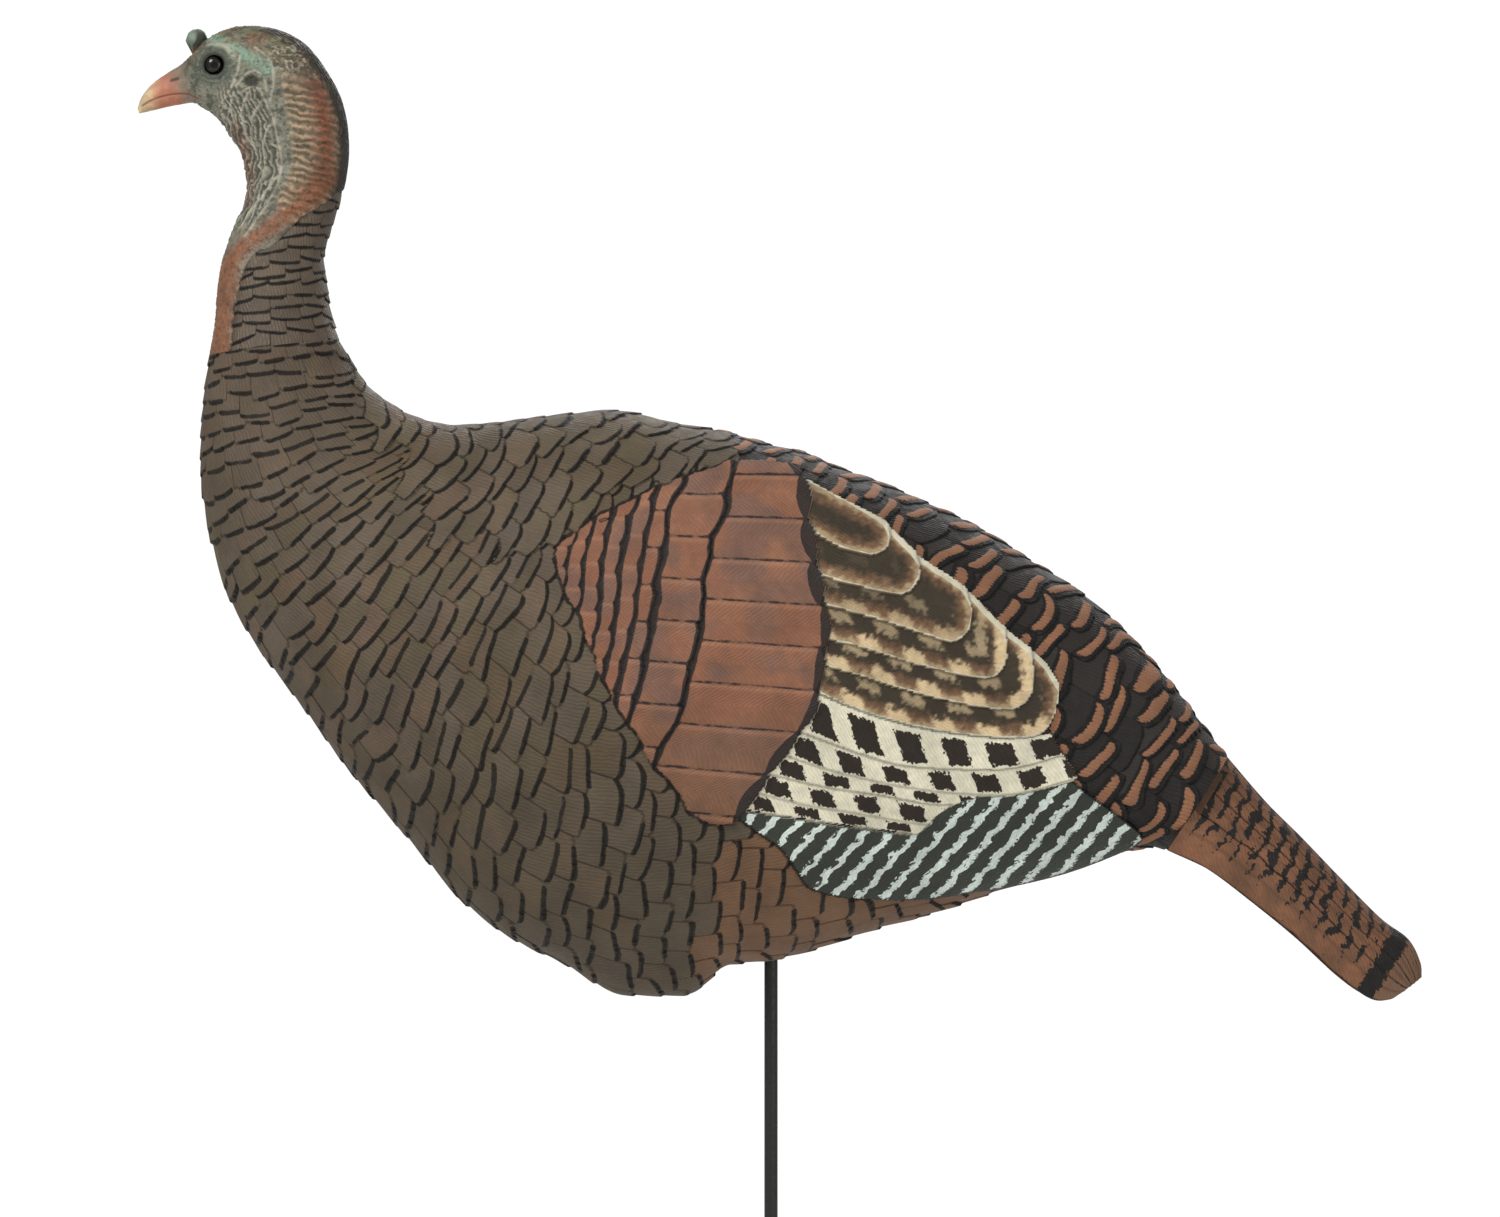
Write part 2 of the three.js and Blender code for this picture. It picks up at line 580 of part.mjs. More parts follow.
// A solid along X, for the limiter pin and its hole.
function radialBar(radius, from, to) {
  const shape = new THREE.CylinderGeometry(radius, radius, to - from, 16).rotateZ(Math.PI / 2);
  return solid(shape, moved((from + to) / 2, 0, LIMIT_PIN.z));
}

function swivelHub() {
  const body = bar(HUB.radius, HUB.bottom, HUB.top);
  const reach = ROD_R + HUB.play;
  const flat = ROD_FLAT + GAP;
  const mouth = bar(reach, HUB.bottom - CUT, ROD_TOP - FLAT_LENGTH + HUB.play);
  const flatSocket = block(-reach, reach, -flat, flat, HUB.bottom, HUB.socketTop);
  const pinHole = radialBar(LIMIT_PIN.radius + HUB.pinPlay, LIMIT_PIN.from - GAP, FAR);
  return body.subtract(mouth).subtract(flatSocket).subtract(pinHole);
}

function thrustWasher() {
  const { radius, hole, bottom, height } = WASHER;
  return turned([[hole, bottom], [radius, bottom], [radius, bottom + height], [hole, bottom + height]]);
}

// ---------------------------------------------------------------- stake

function upperRod() {
  const rod = bar(ROD_R, ROD_JOIN_Z + GAP, ROD_TOP);
  const flats = block(-FAR, FAR, -ROD_FLAT, ROD_FLAT, ROD_TOP - FLAT_LENGTH, FAR);
  const keep = block(-FAR, FAR, -FAR, FAR, 0, ROD_TOP - FLAT_LENGTH).add(flats);
  return rod.intersect(keep);
}

function lowerRod() {
  const shoulder = SPIKE_Z + SPIKE_LENGTH;
  const rod = turned([[0, SPIKE_Z], [ROD_R, shoulder], [ROD_R, ROD_JOIN_Z], [0, ROD_JOIN_Z]]);
  return rod.subtract(crossBar(FERRULE_PIN.radius + GAP, 0, FERRULE_PIN.z, -FAR, FAR));
}

function ferrule() {
  const { radius, bottom, top, chamfer, chamferHeight } = FERRULE;
  const bore = ROD_R + GAP;
  const shoulder = [radius, top - chamferHeight];
  const tube = turned([[bore, bottom], [radius, bottom], shoulder, [radius - chamfer, top], [bore, top]]);
  return tube.subtract(crossBar(FERRULE_PIN.radius + GAP, 0, FERRULE_PIN.z, -FAR, FAR));
}

// A round pin along Y, centred on the origin.
function crossPin(radius, length) {
  return crossBar(radius, 0, 0, -length / 2, length / 2);
}

// A flat step for the foot. Its outer end is bent down into a prong that stops the stake turning in the soil.
function footStep() {
  const { length, width, thickness, heel, prong, prongWidth, point } = STEP;
  const end = length - heel;
  const plate = block(-heel, end, -width / 2, width / 2, 0, thickness);
  const shape = new THREE.Shape();
  shape.moveTo(-prongWidth / 2, thickness / 2);
  shape.lineTo(-prongWidth / 2, -prong + point);
  shape.lineTo(0, -prong);
  shape.lineTo(prongWidth / 2, -prong + point);
  shape.lineTo(prongWidth / 2, thickness / 2);
  shape.closePath();
  const blade = new THREE.ExtrudeGeometry(shape, { depth: thickness, bevelEnabled: false });
  const upright = new THREE.Matrix4().makeBasis(
    new THREE.Vector3(0, 1, 0),
    new THREE.Vector3(0, 0, 1),
    new THREE.Vector3(1, 0, 0),
  );
  const down = solid(blade, moved(end - thickness, 0, 0).multiply(upright));
  return plate.add(down).subtract(bar(ROD_R + GAP, -CUT, thickness + CUT));
}

// ---------------------------------------------------------------- assembly

const decoy = new THREE.Group();

function addPiece(group, name, manifold, material, [x, y, z] = [0, 0, 0]) {
  const mesh = new THREE.Mesh(geometryOf(manifold), material.clone());
  mesh.name = name;
  mesh.position.set(x, y, z);
  group.add(mesh);
  return mesh;
}

const stake = new THREE.Group();
decoy.add(stake);
addPiece(stake, "stake_lower_rod", lowerRod(), blackSteel);
addPiece(stake, "stake_ferrule", ferrule(), blackSteel);
addPiece(stake, "ferrule_pin", crossPin(FERRULE_PIN.radius, FERRULE_PIN.length), zinc, [0, 0, FERRULE_PIN.z]);
addPiece(stake, "foot_step", footStep(), blackSteel);
addPiece(stake, "stake_upper_rod", upperRod(), blackSteel);

const swivel = new THREE.Group();
decoy.add(swivel);
addPiece(swivel, "swivel_hub", swivelHub(), nylon);
addPiece(swivel, "limiter_pin", radialBar(LIMIT_PIN.radius, LIMIT_PIN.from, LIMIT_PIN.to), zinc);

const body = new THREE.Group();
decoy.add(body);
const [leftShell, rightShell] = bodyShells();
addPiece(body, "body_left_shell", leftShell, plumage);
addPiece(body, "body_right_shell", rightShell, plumage);
DOWELS.map(dowelPlace).forEach(([x, z], i) => {
  addPiece(body, `seam_dowel_${i + 1}`, crossPin(DOWEL.radius, 2 * DOWEL.reach), nylon, [x, 0, z]);
});
addPiece(body, "tail_fan", tailFan(), tailPaint);
const tailPin = crossPin(TAIL_PIN.radius, TAIL_PIN.length);
addPiece(body, "tail_cross_pin", tailPin, zinc, [TAIL_PIN.x, 0, TAIL_PIN.z]);
addPiece(body, "stake_receiver", receiver(), blackPlastic);
addPiece(body, "swivel_housing", swivelHousing(), blackPlastic);
addPiece(body, "housing_cap", housingCap(), blackPlastic);
addPiece(body, "thrust_washer", thrustWasher(), nylon);
SCREW_ANGLES.map(screwPlace).forEach(([x, y], i) => {
  addPiece(body, `housing_screw_${i + 1}`, housingScrew(), zinc, [x, y, 0]);
});

decoy.add(neck);
addPiece(neck, "neck_collar", neckCollar(), blackPlastic);
addPiece(neck, "neck_bushing", neckBushing(), nylon);
addPiece(neck, "head_plug", headPlug(), blackPlastic);

const head = new THREE.Group();
decoy.add(head);
addPiece(head, "head_shell", headShell(), skin);
[["eye_left", -1], ["eye_right", 1]].forEach(([name, side]) => {
  const made = addPiece(head, name, eye(), eyeGlass, [EYE.x, side * EYE.out, EYE.z]);
  made.rotation.x = (-side * Math.PI) / 2;
});

export default decoy;
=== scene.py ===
"""A hen turkey decoy with moulded, hand-painted plumage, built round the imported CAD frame.

The feathers are real relief on closed shell meshes. numpy lays the feathers out over each lofted surface,
raises the surface by them, and stores what the paint needs at each point: its colours, and distances in mm to
the edges of feathers and marks. Lengths are in mm, unless a comment says m.
"""
import json
import math
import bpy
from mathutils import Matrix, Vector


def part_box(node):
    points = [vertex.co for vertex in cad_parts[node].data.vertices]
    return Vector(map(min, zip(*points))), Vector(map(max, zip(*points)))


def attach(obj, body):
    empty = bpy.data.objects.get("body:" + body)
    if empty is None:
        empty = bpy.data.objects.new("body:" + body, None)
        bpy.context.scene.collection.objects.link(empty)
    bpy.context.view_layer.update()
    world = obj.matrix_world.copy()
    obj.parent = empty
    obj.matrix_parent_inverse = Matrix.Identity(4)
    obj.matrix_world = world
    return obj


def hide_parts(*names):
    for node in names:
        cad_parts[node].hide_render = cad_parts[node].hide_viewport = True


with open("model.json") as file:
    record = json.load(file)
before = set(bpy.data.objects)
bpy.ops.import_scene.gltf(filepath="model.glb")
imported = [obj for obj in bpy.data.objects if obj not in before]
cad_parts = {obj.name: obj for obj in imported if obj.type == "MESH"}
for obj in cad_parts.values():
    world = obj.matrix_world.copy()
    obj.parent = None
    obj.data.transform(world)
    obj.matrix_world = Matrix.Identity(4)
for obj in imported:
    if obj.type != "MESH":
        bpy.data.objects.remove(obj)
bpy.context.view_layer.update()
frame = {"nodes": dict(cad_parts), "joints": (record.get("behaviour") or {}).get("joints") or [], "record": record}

from types import SimpleNamespace

import bpy
import numpy as np
from mathutils import Vector, noise

MM = 0.001
WALL = 2.6  # the shells' wall, mm
SEAM = 0.03  # each half stops this far from the centre plane, mm
INNER_STEP = 4  # an inner wall has every fourth point of its outer one
SHARP_ANGLE = 62  # faces that meet more sharply than this, in degrees, keep a hard edge
BEYOND = 9.0  # mm, for a point that is too far from a mark or an edge for it to matter
CHANGE_REACH = 5.0  # how far from a region's edge its distance is measured, mm
# A seed for each kind of feather, so that their random numbers differ.
SEEDS = {"contour": 11, "tone": 19, "covert_tip": 31, "covert": 37, "check": 41, "neck": 83}

# ------------------------------------------------------------------ camera distance and side view

IMAGE_WIDTH = 900.0  # mm of the bird's centre plane across the picture
LENS = 200.0
SENSOR = 36.0
VIEW_DISTANCE = IMAGE_WIDTH * LENS / SENSOR  # mm from the centre plane
AIM = np.array([-12.6, 0.0, 480.0])


def side_view(points):
    """x and z of points as they look from the side, drawn on the centre plane."""
    nearer = VIEW_DISTANCE / (VIEW_DISTANCE - np.abs(points[..., 1]))
    flat = points[..., [0, 2]] - AIM[[0, 2]]
    return flat * nearer[..., None] + AIM[[0, 2]]


# ------------------------------------------------------------------ cross-sections, in mm

# Each row is the low end x, z and the high end x, z of a section's chord, its half width, its fullness
# (2 is an ellipse) and how far up its widest place is shifted.
BODY_SECTIONS = [
    (-336, 632, -260, 641, 35.5, 2.0, 0),
    (-339, 608, -247, 617, 39, 2.0, 0),
    (-341, 581, -232, 603, 45, 2.0, 0),
    (-340, 551, -214, 593, 52, 2.05, -0.03),
    (-334, 518, -193, 588, 60, 2.1, -0.04),
    (-323, 485, -169, 589, 69, 2.1, -0.04),
    (-305, 455, -145, 592, 78, 2.15, -0.03),
    (-280, 422, -121, 595, 86, 2.2, 0),
    (-250, 382, -100, 597, 93, 2.25, 0.04),
    (-217, 344, -79, 595, 99, 2.3, 0.08),
    (-181, 303, -61, 590, 104, 2.3, 0.12),
    (-142, 277, -43, 587, 107, 2.3, 0.14),
    (-109, 268, -25, 584, 109, 2.3, 0.16),
    (-79, 265, -4, 578, 110, 2.3, 0.16),
    (-49, 265.5, 17, 573, 110, 2.3, 0.16),
    (-28, 267.5, 41, 563, 109, 2.3, 0.15),
    (11, 273, 71, 552, 106, 2.3, 0.14),
    (59, 288, 101, 539, 100, 2.25, 0.12),
    (101, 300, 128, 525, 91, 2.2, 0.08),
    (143, 314, 155, 508, 80, 2.15, 0.04),
    (182, 325, 188, 487, 67, 2.1, 0.02),
    (212, 335, 215, 462, 55, 2.05, 0),
    (227, 338, 242, 431, 46, 2.0, 0),
    (236, 336, 272, 391, 40, 2.0, 0),
]
HEAD_SECTIONS = [
    (-336, 632, -260, 641, 35.5, 2.0, 0),
    (-332, 654, -264, 655, 32.5, 2.0, 0),
    (-331, 671, -267, 672, 30.5, 2.0, 0),
    (-328, 690, -269, 692, 28.5, 2.0, 0),
    (-323, 706, -265, 707, 27, 2.0, 0),
    (-316, 721, -260, 722, 26, 2.0, 0),
    (-314, 734, -256, 737, 25.5, 2.0, 0),
    (-317, 752, -254, 755, 25, 2.0, 0),
    (-323, 762, -256, 776, 25, 2.0, 0),
    (-329, 771, -263, 795, 25, 2.1, 0),
    (-336, 778, -280, 818, 24, 2.2, 0.04),
    (-341, 781, -302, 828, 22, 2.3, 0.08),
    (-344, 783, -323, 828, 19, 2.3, 0.1),
    (-347, 783.5, -338, 821, 15.5, 2.2, 0.1),
    (-351, 783, -350, 809, 11, 2.1, 0.05),
    (-359, 781.5, -361, 802, 7.5, 2.0, 0),
    (-368, 779.5, -371, 795, 5.2, 2.0, 0),
    (-375, 777.8, -377.5, 787, 3.2, 2.0, 0),
    (-379, 777, -380, 780, 1.2, 2.0, 0),
]
FINE_ANGLES = 721  # points round a half section and along a loft, before they are spaced evenly
FINE_ROWS = 1600
KEEL = {"front": -134, "full": -88, "end": -52, "back": -24, "depth": 15.8, "half_width": 46}


def smooth(low, high, value):
    """0 below low, 1 above high and a smooth step between."""
    share = np.clip((np.asarray(value, float) - low) / (high - low), 0, 1)
    return share * share * (3 - 2 * share)


def spline(points, share):
    """A smooth curve through points, at each share of its length from 0 to 1."""
    p = np.asarray(points, float)
    last = len(p) - 1
    p = np.vstack([2 * p[0] - p[1], p, 2 * p[-1] - p[-2]])
    place = np.clip(share, 0, 1) * last
    i = np.minimum(place.astype(int), last - 1)
    f = (place - i)[:, None]
    a, b, c, d = p[i], p[i + 1], p[i + 2], p[i + 3]
    return 0.5 * (2 * b + (c - a) * f + (2 * a - 5 * b + 4 * c - d) * f**2 + (3 * b - a - 3 * c + d) * f**3)


def section_points(sections, share, angle):
    """Surface points of the left side: share along the loft by angle round it, from -90 below to 90 above."""
    s = spline(sections, share)
    low, high, half, full, lift = s[:, 0:2], s[:, 2:4], s[:, 4:5], s[:, 5:6], s[:, 6:7]
    power = 2 / full
    sine, cosine = np.sin(angle)[None], np.clip(np.cos(angle), 0, 1)[None]
    rise = np.sign(sine) * np.abs(sine) ** power
    up = rise + lift * (1 - rise**2)
    middle, reach = (low + high) / 2, (high - low) / 2
    x = middle[:, :1] + reach[:, :1] * up
    z = middle[:, 1:] + reach[:, 1:] * up
    return np.stack([x, -half * cosine**power, z], axis=-1), rise


def with_keel(points, rise):
    """The body's points with the rounded keel pushed down under the breast."""
    x, y = points[..., 0], points[..., 1]
    along = smooth(KEEL["front"], KEEL["full"], x) * (1 - smooth(KEEL["end"], KEEL["back"], x))
    across = np.maximum(0, 1 - (y / KEEL["half_width"]) ** 2) ** 2
    points[..., 2] -= np.where(rise < 0, KEEL["depth"] * along * across, 0)
    return points


def lengths(points, axis):
    """Distance travelled along an axis of a grid of points, from 0."""
    steps = np.linalg.norm(np.diff(points, axis=axis), axis=-1)
    start = np.zeros_like(np.take(steps, [0], axis=axis))
    return np.concatenate([start, np.cumsum(steps, axis=axis)], axis=axis)


def grid_normals(points):
    """Unit normals of a grid of points, turned out of the object's left side."""
    normal = np.cross(np.gradient(points, axis=0), np.gradient(points, axis=1))
    normal /= np.maximum(np.linalg.norm(normal, axis=-1, keepdims=True), 1e-9)
    return normal if normal[:, points.shape[1] // 2, 1].mean() < 0 else -normal


class Side:
    """The smooth left side of a lofted body, as an even grid, with its normals and distances in mm."""

    def __init__(self, sections, rows, columns, keel=False):
        angle = np.linspace(-math.pi / 2, math.pi / 2, FINE_ANGLES)
        fine = np.linspace(0, 1, FINE_ROWS)
        rough, rise = section_points(sections, fine, angle)
        travel = lengths(rough[:, :: FINE_ANGLES // 4], 0).mean(axis=1)
        self.share = np.interp(np.linspace(0, travel[-1], rows), travel, fine)
        rings, rise = section_points(sections, self.share, angle)
        if keel:
            rings = with_keel(rings, rise)
        around = lengths(rings, 1)
        self.girth = around[:, -1]
        even = np.linspace(0, 1, columns)
        self.points = np.empty((rows, columns, 3))
        for i in range(rows):
            for k in range(3):
                self.points[i, :, k] = np.interp(even * self.girth[i], around[i], rings[i, :, k])
        self.around = np.broadcast_to(even, (rows, columns))
        self.travel = lengths(self.points, 0)
        self.normals = grid_normals(self.points)
        self.normals[:, [0, -1], 1] = 0
        self.normals /= np.maximum(np.linalg.norm(self.normals, axis=-1, keepdims=True), 1e-9)
        self.flat = self.unroll()

    def unroll(self):
        """The side view with each cross-section rolled out flat along its chord."""
        xz = self.points[..., [0, 2]]
        chord = xz[:, -1] - xz[:, 0]
        chord /= np.linalg.norm(chord, axis=1, keepdims=True)
        rows = np.arange(len(xz))
        widest = self.points[..., 1].argmin(axis=1)
        arc = self.around * self.girth[:, None]
        arc = arc - arc[rows, widest][:, None]
        return xz[rows, widest][:, None] + arc[..., None] * chord[:, None]

# ------------------------------------------------------------------ random numbers and noise


def chance(i, j, stream):
    """A repeatable random number from 0 to 1 for each pair of whole numbers."""
    n = (np.asarray(i, np.int64) + 4096) * 374761393 + (np.asarray(j, np.int64) + 512) * 668265263
    n = (n + stream * 1274126177) & 0xFFFFFFFF
    n = ((n ^ (n >> 13)) * 1274126177) & 0xFFFFFFFF
    n = ((n ^ (n >> 16)) * 2246822519) & 0xFFFFFFFF
    return ((n ^ (n >> 15)) & 0xFFFFFF) / float(0xFFFFFF)


def cloud(points, size, octaves=2, offset=0.0):
    """Smooth noise from about -1 to 1 over a grid of points in mm, with lumps of about that size."""
    rows, columns = points.shape[:2]
    gap = np.linalg.norm(points[rows // 2, columns // 2] - points[rows // 2 + 1, columns // 2 + 1])
    stride = max(1, int(size / (6 * gap)))
    picks = [np.unique(np.append(np.arange(0, count, stride), count - 1)) for count in (rows, columns)]
    few = points[picks[0]][:, picks[1]]
    places = (few.reshape(-1, 3) / size + offset).tolist()
    values = np.array([noise.fractal(Vector(p), 0.6, 2.0, octaves) for p in places]).reshape(few.shape[:2])
    values = np.array([np.interp(np.arange(columns), picks[1], line) for line in values])
    return np.array([np.interp(np.arange(rows), picks[0], line) for line in values.T]).T


# ------------------------------------------------------------------ curves on the side view


def curve(points, count=60):
    """A smooth curve through points, as count points."""
    return spline(points, np.linspace(0, 1, count))


def distance_to(places, line):
    """Distance in mm from each place on the side view to a line of points."""
    best = np.full(places.shape[:-1], 1e9)
    for a, b in zip(line[:-1], line[1:]):
        along = b - a
        share = np.clip(((places - a) @ along) / max(along @ along, 1e-9), 0, 1)
        gap = places - (a + share[..., None] * along)
        best = np.minimum(best, np.einsum("...i,...i->...", gap, gap))
    return np.sqrt(best)


def distance_to_change(region, points):
    """Distance in mm from each grid point to the region's edge, up to a few grid steps away."""
    step = np.linalg.norm(points[1:, :-1] - points[:-1, :-1], axis=-1).mean()
    reach = int(CHANGE_REACH / step) + 1
    best = np.full(region.shape, BEYOND)
    rows, columns = region.shape
    for i in range(-reach, reach + 1):
        for j in range(-reach, reach + 1):
            here = (slice(max(0, -i), rows - max(0, i)), slice(max(0, -j), columns - max(0, j)))
            there = (slice(max(0, i), rows - max(0, -i)), slice(max(0, j), columns - max(0, -j)))
            gap = np.linalg.norm(points[there] - points[here], axis=-1)
            other = region[there] != region[here]
            best[here] = np.where(other, np.minimum(best[here], gap), best[here])
    return best


def fade(distance, width):
    """1 at no distance, and next to nothing at twice the width."""
    return np.exp(-((distance / width) ** 2))


def inside(places, outline):
    """Whether each place on the side view lies in a closed outline."""
    x, z = places[..., 0], places[..., 1]
    odd = np.zeros(x.shape, bool)
    for (ax, az), (bx, bz) in zip(outline, np.roll(outline, -1, axis=0)):
        spans = (az > z) != (bz > z)
        if spans.any():
            crossing = ax + (z - az) * (bx - ax) / (bz - az if bz != az else 1e-9)
            odd ^= spans & (x < crossing)
    return odd


def across_line(points, value, by=1):
    """The other coordinate of a smooth line through points, at each value of one coordinate."""
    line = curve(points)
    order = np.argsort(line[:, by])
    return np.interp(value, line[order, by], line[order, 1 - by])


# ------------------------------------------------------------------ overlapping feathers


def even_columns(around, girth, rho, wanted):
    """Columns of feathers round the body: each row has a whole number between the belly and the back."""
    centre = rho.mean(axis=1)
    order = np.argsort(centre)
    half_girth = np.broadcast_to(girth[:, None], rho.shape)

    def place(row):
        reach = np.interp(row + 0.5, centre[order], girth[order])
        count = np.maximum(2, np.round(reach / wanted(row)))
        return around * count + 0.5 * (row % 2), half_girth / count

    return place


def shingle(rho, pitch, columns, seed, jitter=0.3, corner=0.12, tilt=0.3):
    """Lays rows of overlapping feathers over a grid and says, at each point, which one is on top.

    rho counts rows towards the tips, pitch is the row spacing in mm, and columns(row) gives each point's
    place along a row, in feathers, and the feathers' width in mm.
    """
    base = np.floor(rho).astype(int)
    found = np.zeros(rho.shape, bool)
    keys = ("tip", "across", "width", "ink", "row", "column", "luck", "twist")
    out = {key: np.zeros(rho.shape) for key in keys}
    over_ink = np.zeros(rho.shape)
    cover = np.full(rho.shape, 1e3)
    for step in (-2, -1, 0, 1, 2):
        row = base + step
        place, width = columns(row)
        column = np.floor(place).astype(int)
        v = place - column - 0.5
        push = (chance(row, column, seed) - 0.5) * 2 * jitter
        lean = (chance(row, column, seed + 1) - 0.5) * 2 * tilt
        gap = (row + 1 + push + lean * v - corner * np.abs(2 * v) ** 4 - rho) * pitch
        ink_from = -0.62 + 0.34 * chance(row, column, seed + 2)
        ink_to = 0.28 + 0.34 * chance(row, column, seed + 3)
        ink = smooth(ink_from - 0.04, ink_from + 0.04, v) * (1 - smooth(ink_to - 0.04, ink_to + 0.04, v))
        mine = (gap > 0) & ~found
        nearer = ~found & ~mine & (-gap < cover)
        cover = np.where(nearer, -gap, cover)
        over_ink = np.where(nearer, ink, over_ink)
        luck, twist = chance(row, column, seed + 4), chance(row, column, seed + 5)
        for key, value in zip(keys, (gap, v * width, width, ink, row, column, luck, twist)):
            out[key] = np.where(mine, value, out[key])
        found |= mine
    out["cover"] = cover
    out["edge"] = np.minimum(out["tip"], cover)
    out["ink"] = np.where(out["tip"] < cover, out["ink"], over_ink)
    out["side"] = out["width"] / 2 - np.abs(out["across"])
    out["pitch"] = np.broadcast_to(pitch, rho.shape)
    return out


def shingle_height(f):
    """Relief in mm of a layer of feathers: each climbs to its tip, and dips at its sides."""
    rise = 0.55 + 0.085 * f["pitch"]
    climb = 1 - np.clip(f["tip"] / (1.9 * f["pitch"]), 0, 1)
    crown = 1 - (np.abs(f["across"]) / np.maximum(f["width"] / 2, 1)) ** 3
    return rise * climb + 0.3 * crown - 0.15 * fade(f["side"], 0.8) + 0.25 * (f["luck"] - 0.5)


# ------------------------------------------------------------------ colours


def paint(r, g, b):
    """A colour given in 0-255 screen values, as a linear one."""
    c = np.array([r, g, b], float) / 255
    return np.where(c <= 0.04045, c / 12.92, ((c + 0.055) / 1.055) ** 2.4)


OLIVE = paint(86, 75, 56)
GREY_BROWN = paint(92, 80, 68)
DARKER_BELOW = paint(70, 60, 46)
NECK_BROWN = paint(84, 72, 60)
STROKE = paint(30, 25, 18)
RUFOUS = paint(126, 82, 60)
RUFOUS_PALE = paint(148, 106, 82)
RUFOUS_GREY = paint(112, 84, 72)
RUFOUS_LOW = paint(110, 78, 57)
WING_BLACK = paint(34, 31, 30)
UMBER = paint(112, 84, 60)
UMBER_DARK = paint(54, 46, 34)
CREAM = paint(214, 208, 184)
CREAM_TAN = paint(206, 182, 142)
CHECK = paint(40, 32, 24)
QUILL_GREEN = paint(50, 54, 46)
QUILL_BAR = paint(200, 210, 202)
FLANK = paint(108, 80, 58)
RUMP_BLACK = paint(26, 23, 21)
RUMP_GREY = paint(50, 44, 39)
RUMP_TAN = paint(136, 94, 68)
TAIL_BROWN = paint(102, 71, 50)
TAIL_RUST = paint(122, 82, 58)
TAIL_DARK = paint(26, 23, 20)
TAIL_TAN = paint(122, 90, 68)
PLASTIC = paint(104, 96, 82)


def blend(a, b, share):
    """Colour a turning to colour b, by a share at each point."""
    return a + (b - a) * np.clip(share, 0, 1)[..., None]


class Coat:
    """What the paint needs at each point of a grid."""

    def __init__(self, shape, base, line=STROKE, mark=STROKE):
        self.base = np.broadcast_to(base, (*shape, 3)).astype(float).copy()
        self.line = np.broadcast_to(line, (*shape, 3)).astype(float).copy()
        self.mark = np.broadcast_to(mark, (*shape, 3)).astype(float).copy()
        self.line_in = np.full(shape, -BEYOND)  # mm inside a painted line
        self.mark_in = np.full(shape, -BEYOND)  # mm inside a painted mark
        self.barb = np.zeros(shape)  # mm along the feather's barbs
        self.edge = np.full(shape, BEYOND)  # mm to the nearest step of the relief; the paint darkens near it as painted shade

    def put(self, where, **values):
        """Sets values by name at the points where the mask holds."""
        for key, value in values.items():
            target = getattr(self, key)
            target[where] = np.broadcast_to(value, target.shape)[where]


# ------------------------------------------------------------------ the wing, drawn on the side view in mm

# Tip lines of the rows of rufous coverts, from the black rear edge forwards.
COVERT_TIPS = [
    [(17, 562), (20, 545), (24, 518), (31, 491), (33, 465), (31, 440), (22, 413), (7, 392), (-10, 370),
     (-22, 350)],
    [(-22, 567), (-27, 540), (-37, 512), (-42, 487), (-44, 457), (-54, 422), (-67, 392), (-82, 362)],
    [(-52, 562), (-60, 536), (-66, 506), (-69, 481), (-75, 454), (-82, 423), (-92, 392)],
    [(-66, 556), (-73, 532), (-78, 504), (-81, 481), (-86, 454), (-93, 423)],
    [(-78, 550), (-85, 530), (-90, 504), (-92, 480), (-97, 452), (-104, 424)],
    [(-91, 545), (-97, 526), (-101, 504), (-103, 482), (-108, 456), (-114, 430)],
    [(-103, 540), (-108, 522), (-112, 504), (-114, 486), (-119, 460)],
    [(-115, 534), (-119, 518), (-123, 502), (-126, 484)],
]
COVERT_HEIGHTS = [25, 25, 22, 19, 17, 15, 14, 13]
COVERT_SLOPE = 0.07
COVERT_FOOT = 356.0  # the height that each row's feathers are counted from
COVERT_STAGGER = 0.37  # how far each row is shifted up on the one behind it, in feathers
COVERT_BULGE = (3.4, 1.6)  # how far the middle of a tip reaches, mm, in the first row and in the others
COVERT_UNEVEN = 2.6  # how much single tips differ, mm
COVERT_WAVE = [1.2, 3.4, 2.4, 1.2, 1.2, 1.2, 1.2, 1.2]  # how far the rows of tips wander, mm
COVERT_LINE = 2.2  # half the width of the rows' dark lines, mm, and how much thinner each next one is
COVERT_LINE_THINNER = 0.2
COVERT_SEAM = 0.62
SEAMED_ROWS = 3
BLACK_EDGE = 7.5
# Where the painted highlight beside each covert's upper side lies, and its width, mm.
HIGHLIGHT_LINE = {"from_seam": 2.2, "width": 1.1}
RUFOUS_LOW_Z = (365, 440)  # the coverts grow darker between these heights
FAR = 60.0  # a distance in mm that is past every feather's edge
WING_TOP = [(17, 562), (0, 565), (-22, 567), (-42, 563), (-62, 556), (-86, 543), (-106, 534), (-129, 518)]
WING_FRONT = [(-129, 518), (-128, 505), (-119, 484), (-112, 462), (-103, 441), (-92, 420), (-82, 402),
              (-62, 375), (-42, 354), (-22, 350)]
TERTIAL_TOP = [(17, 556), (37, 545), (57, 535), (70, 526.5), (86, 511), (106, 497.5), (121, 485.5),
               (134, 472), (147, 461), (162, 449), (171, 436)]
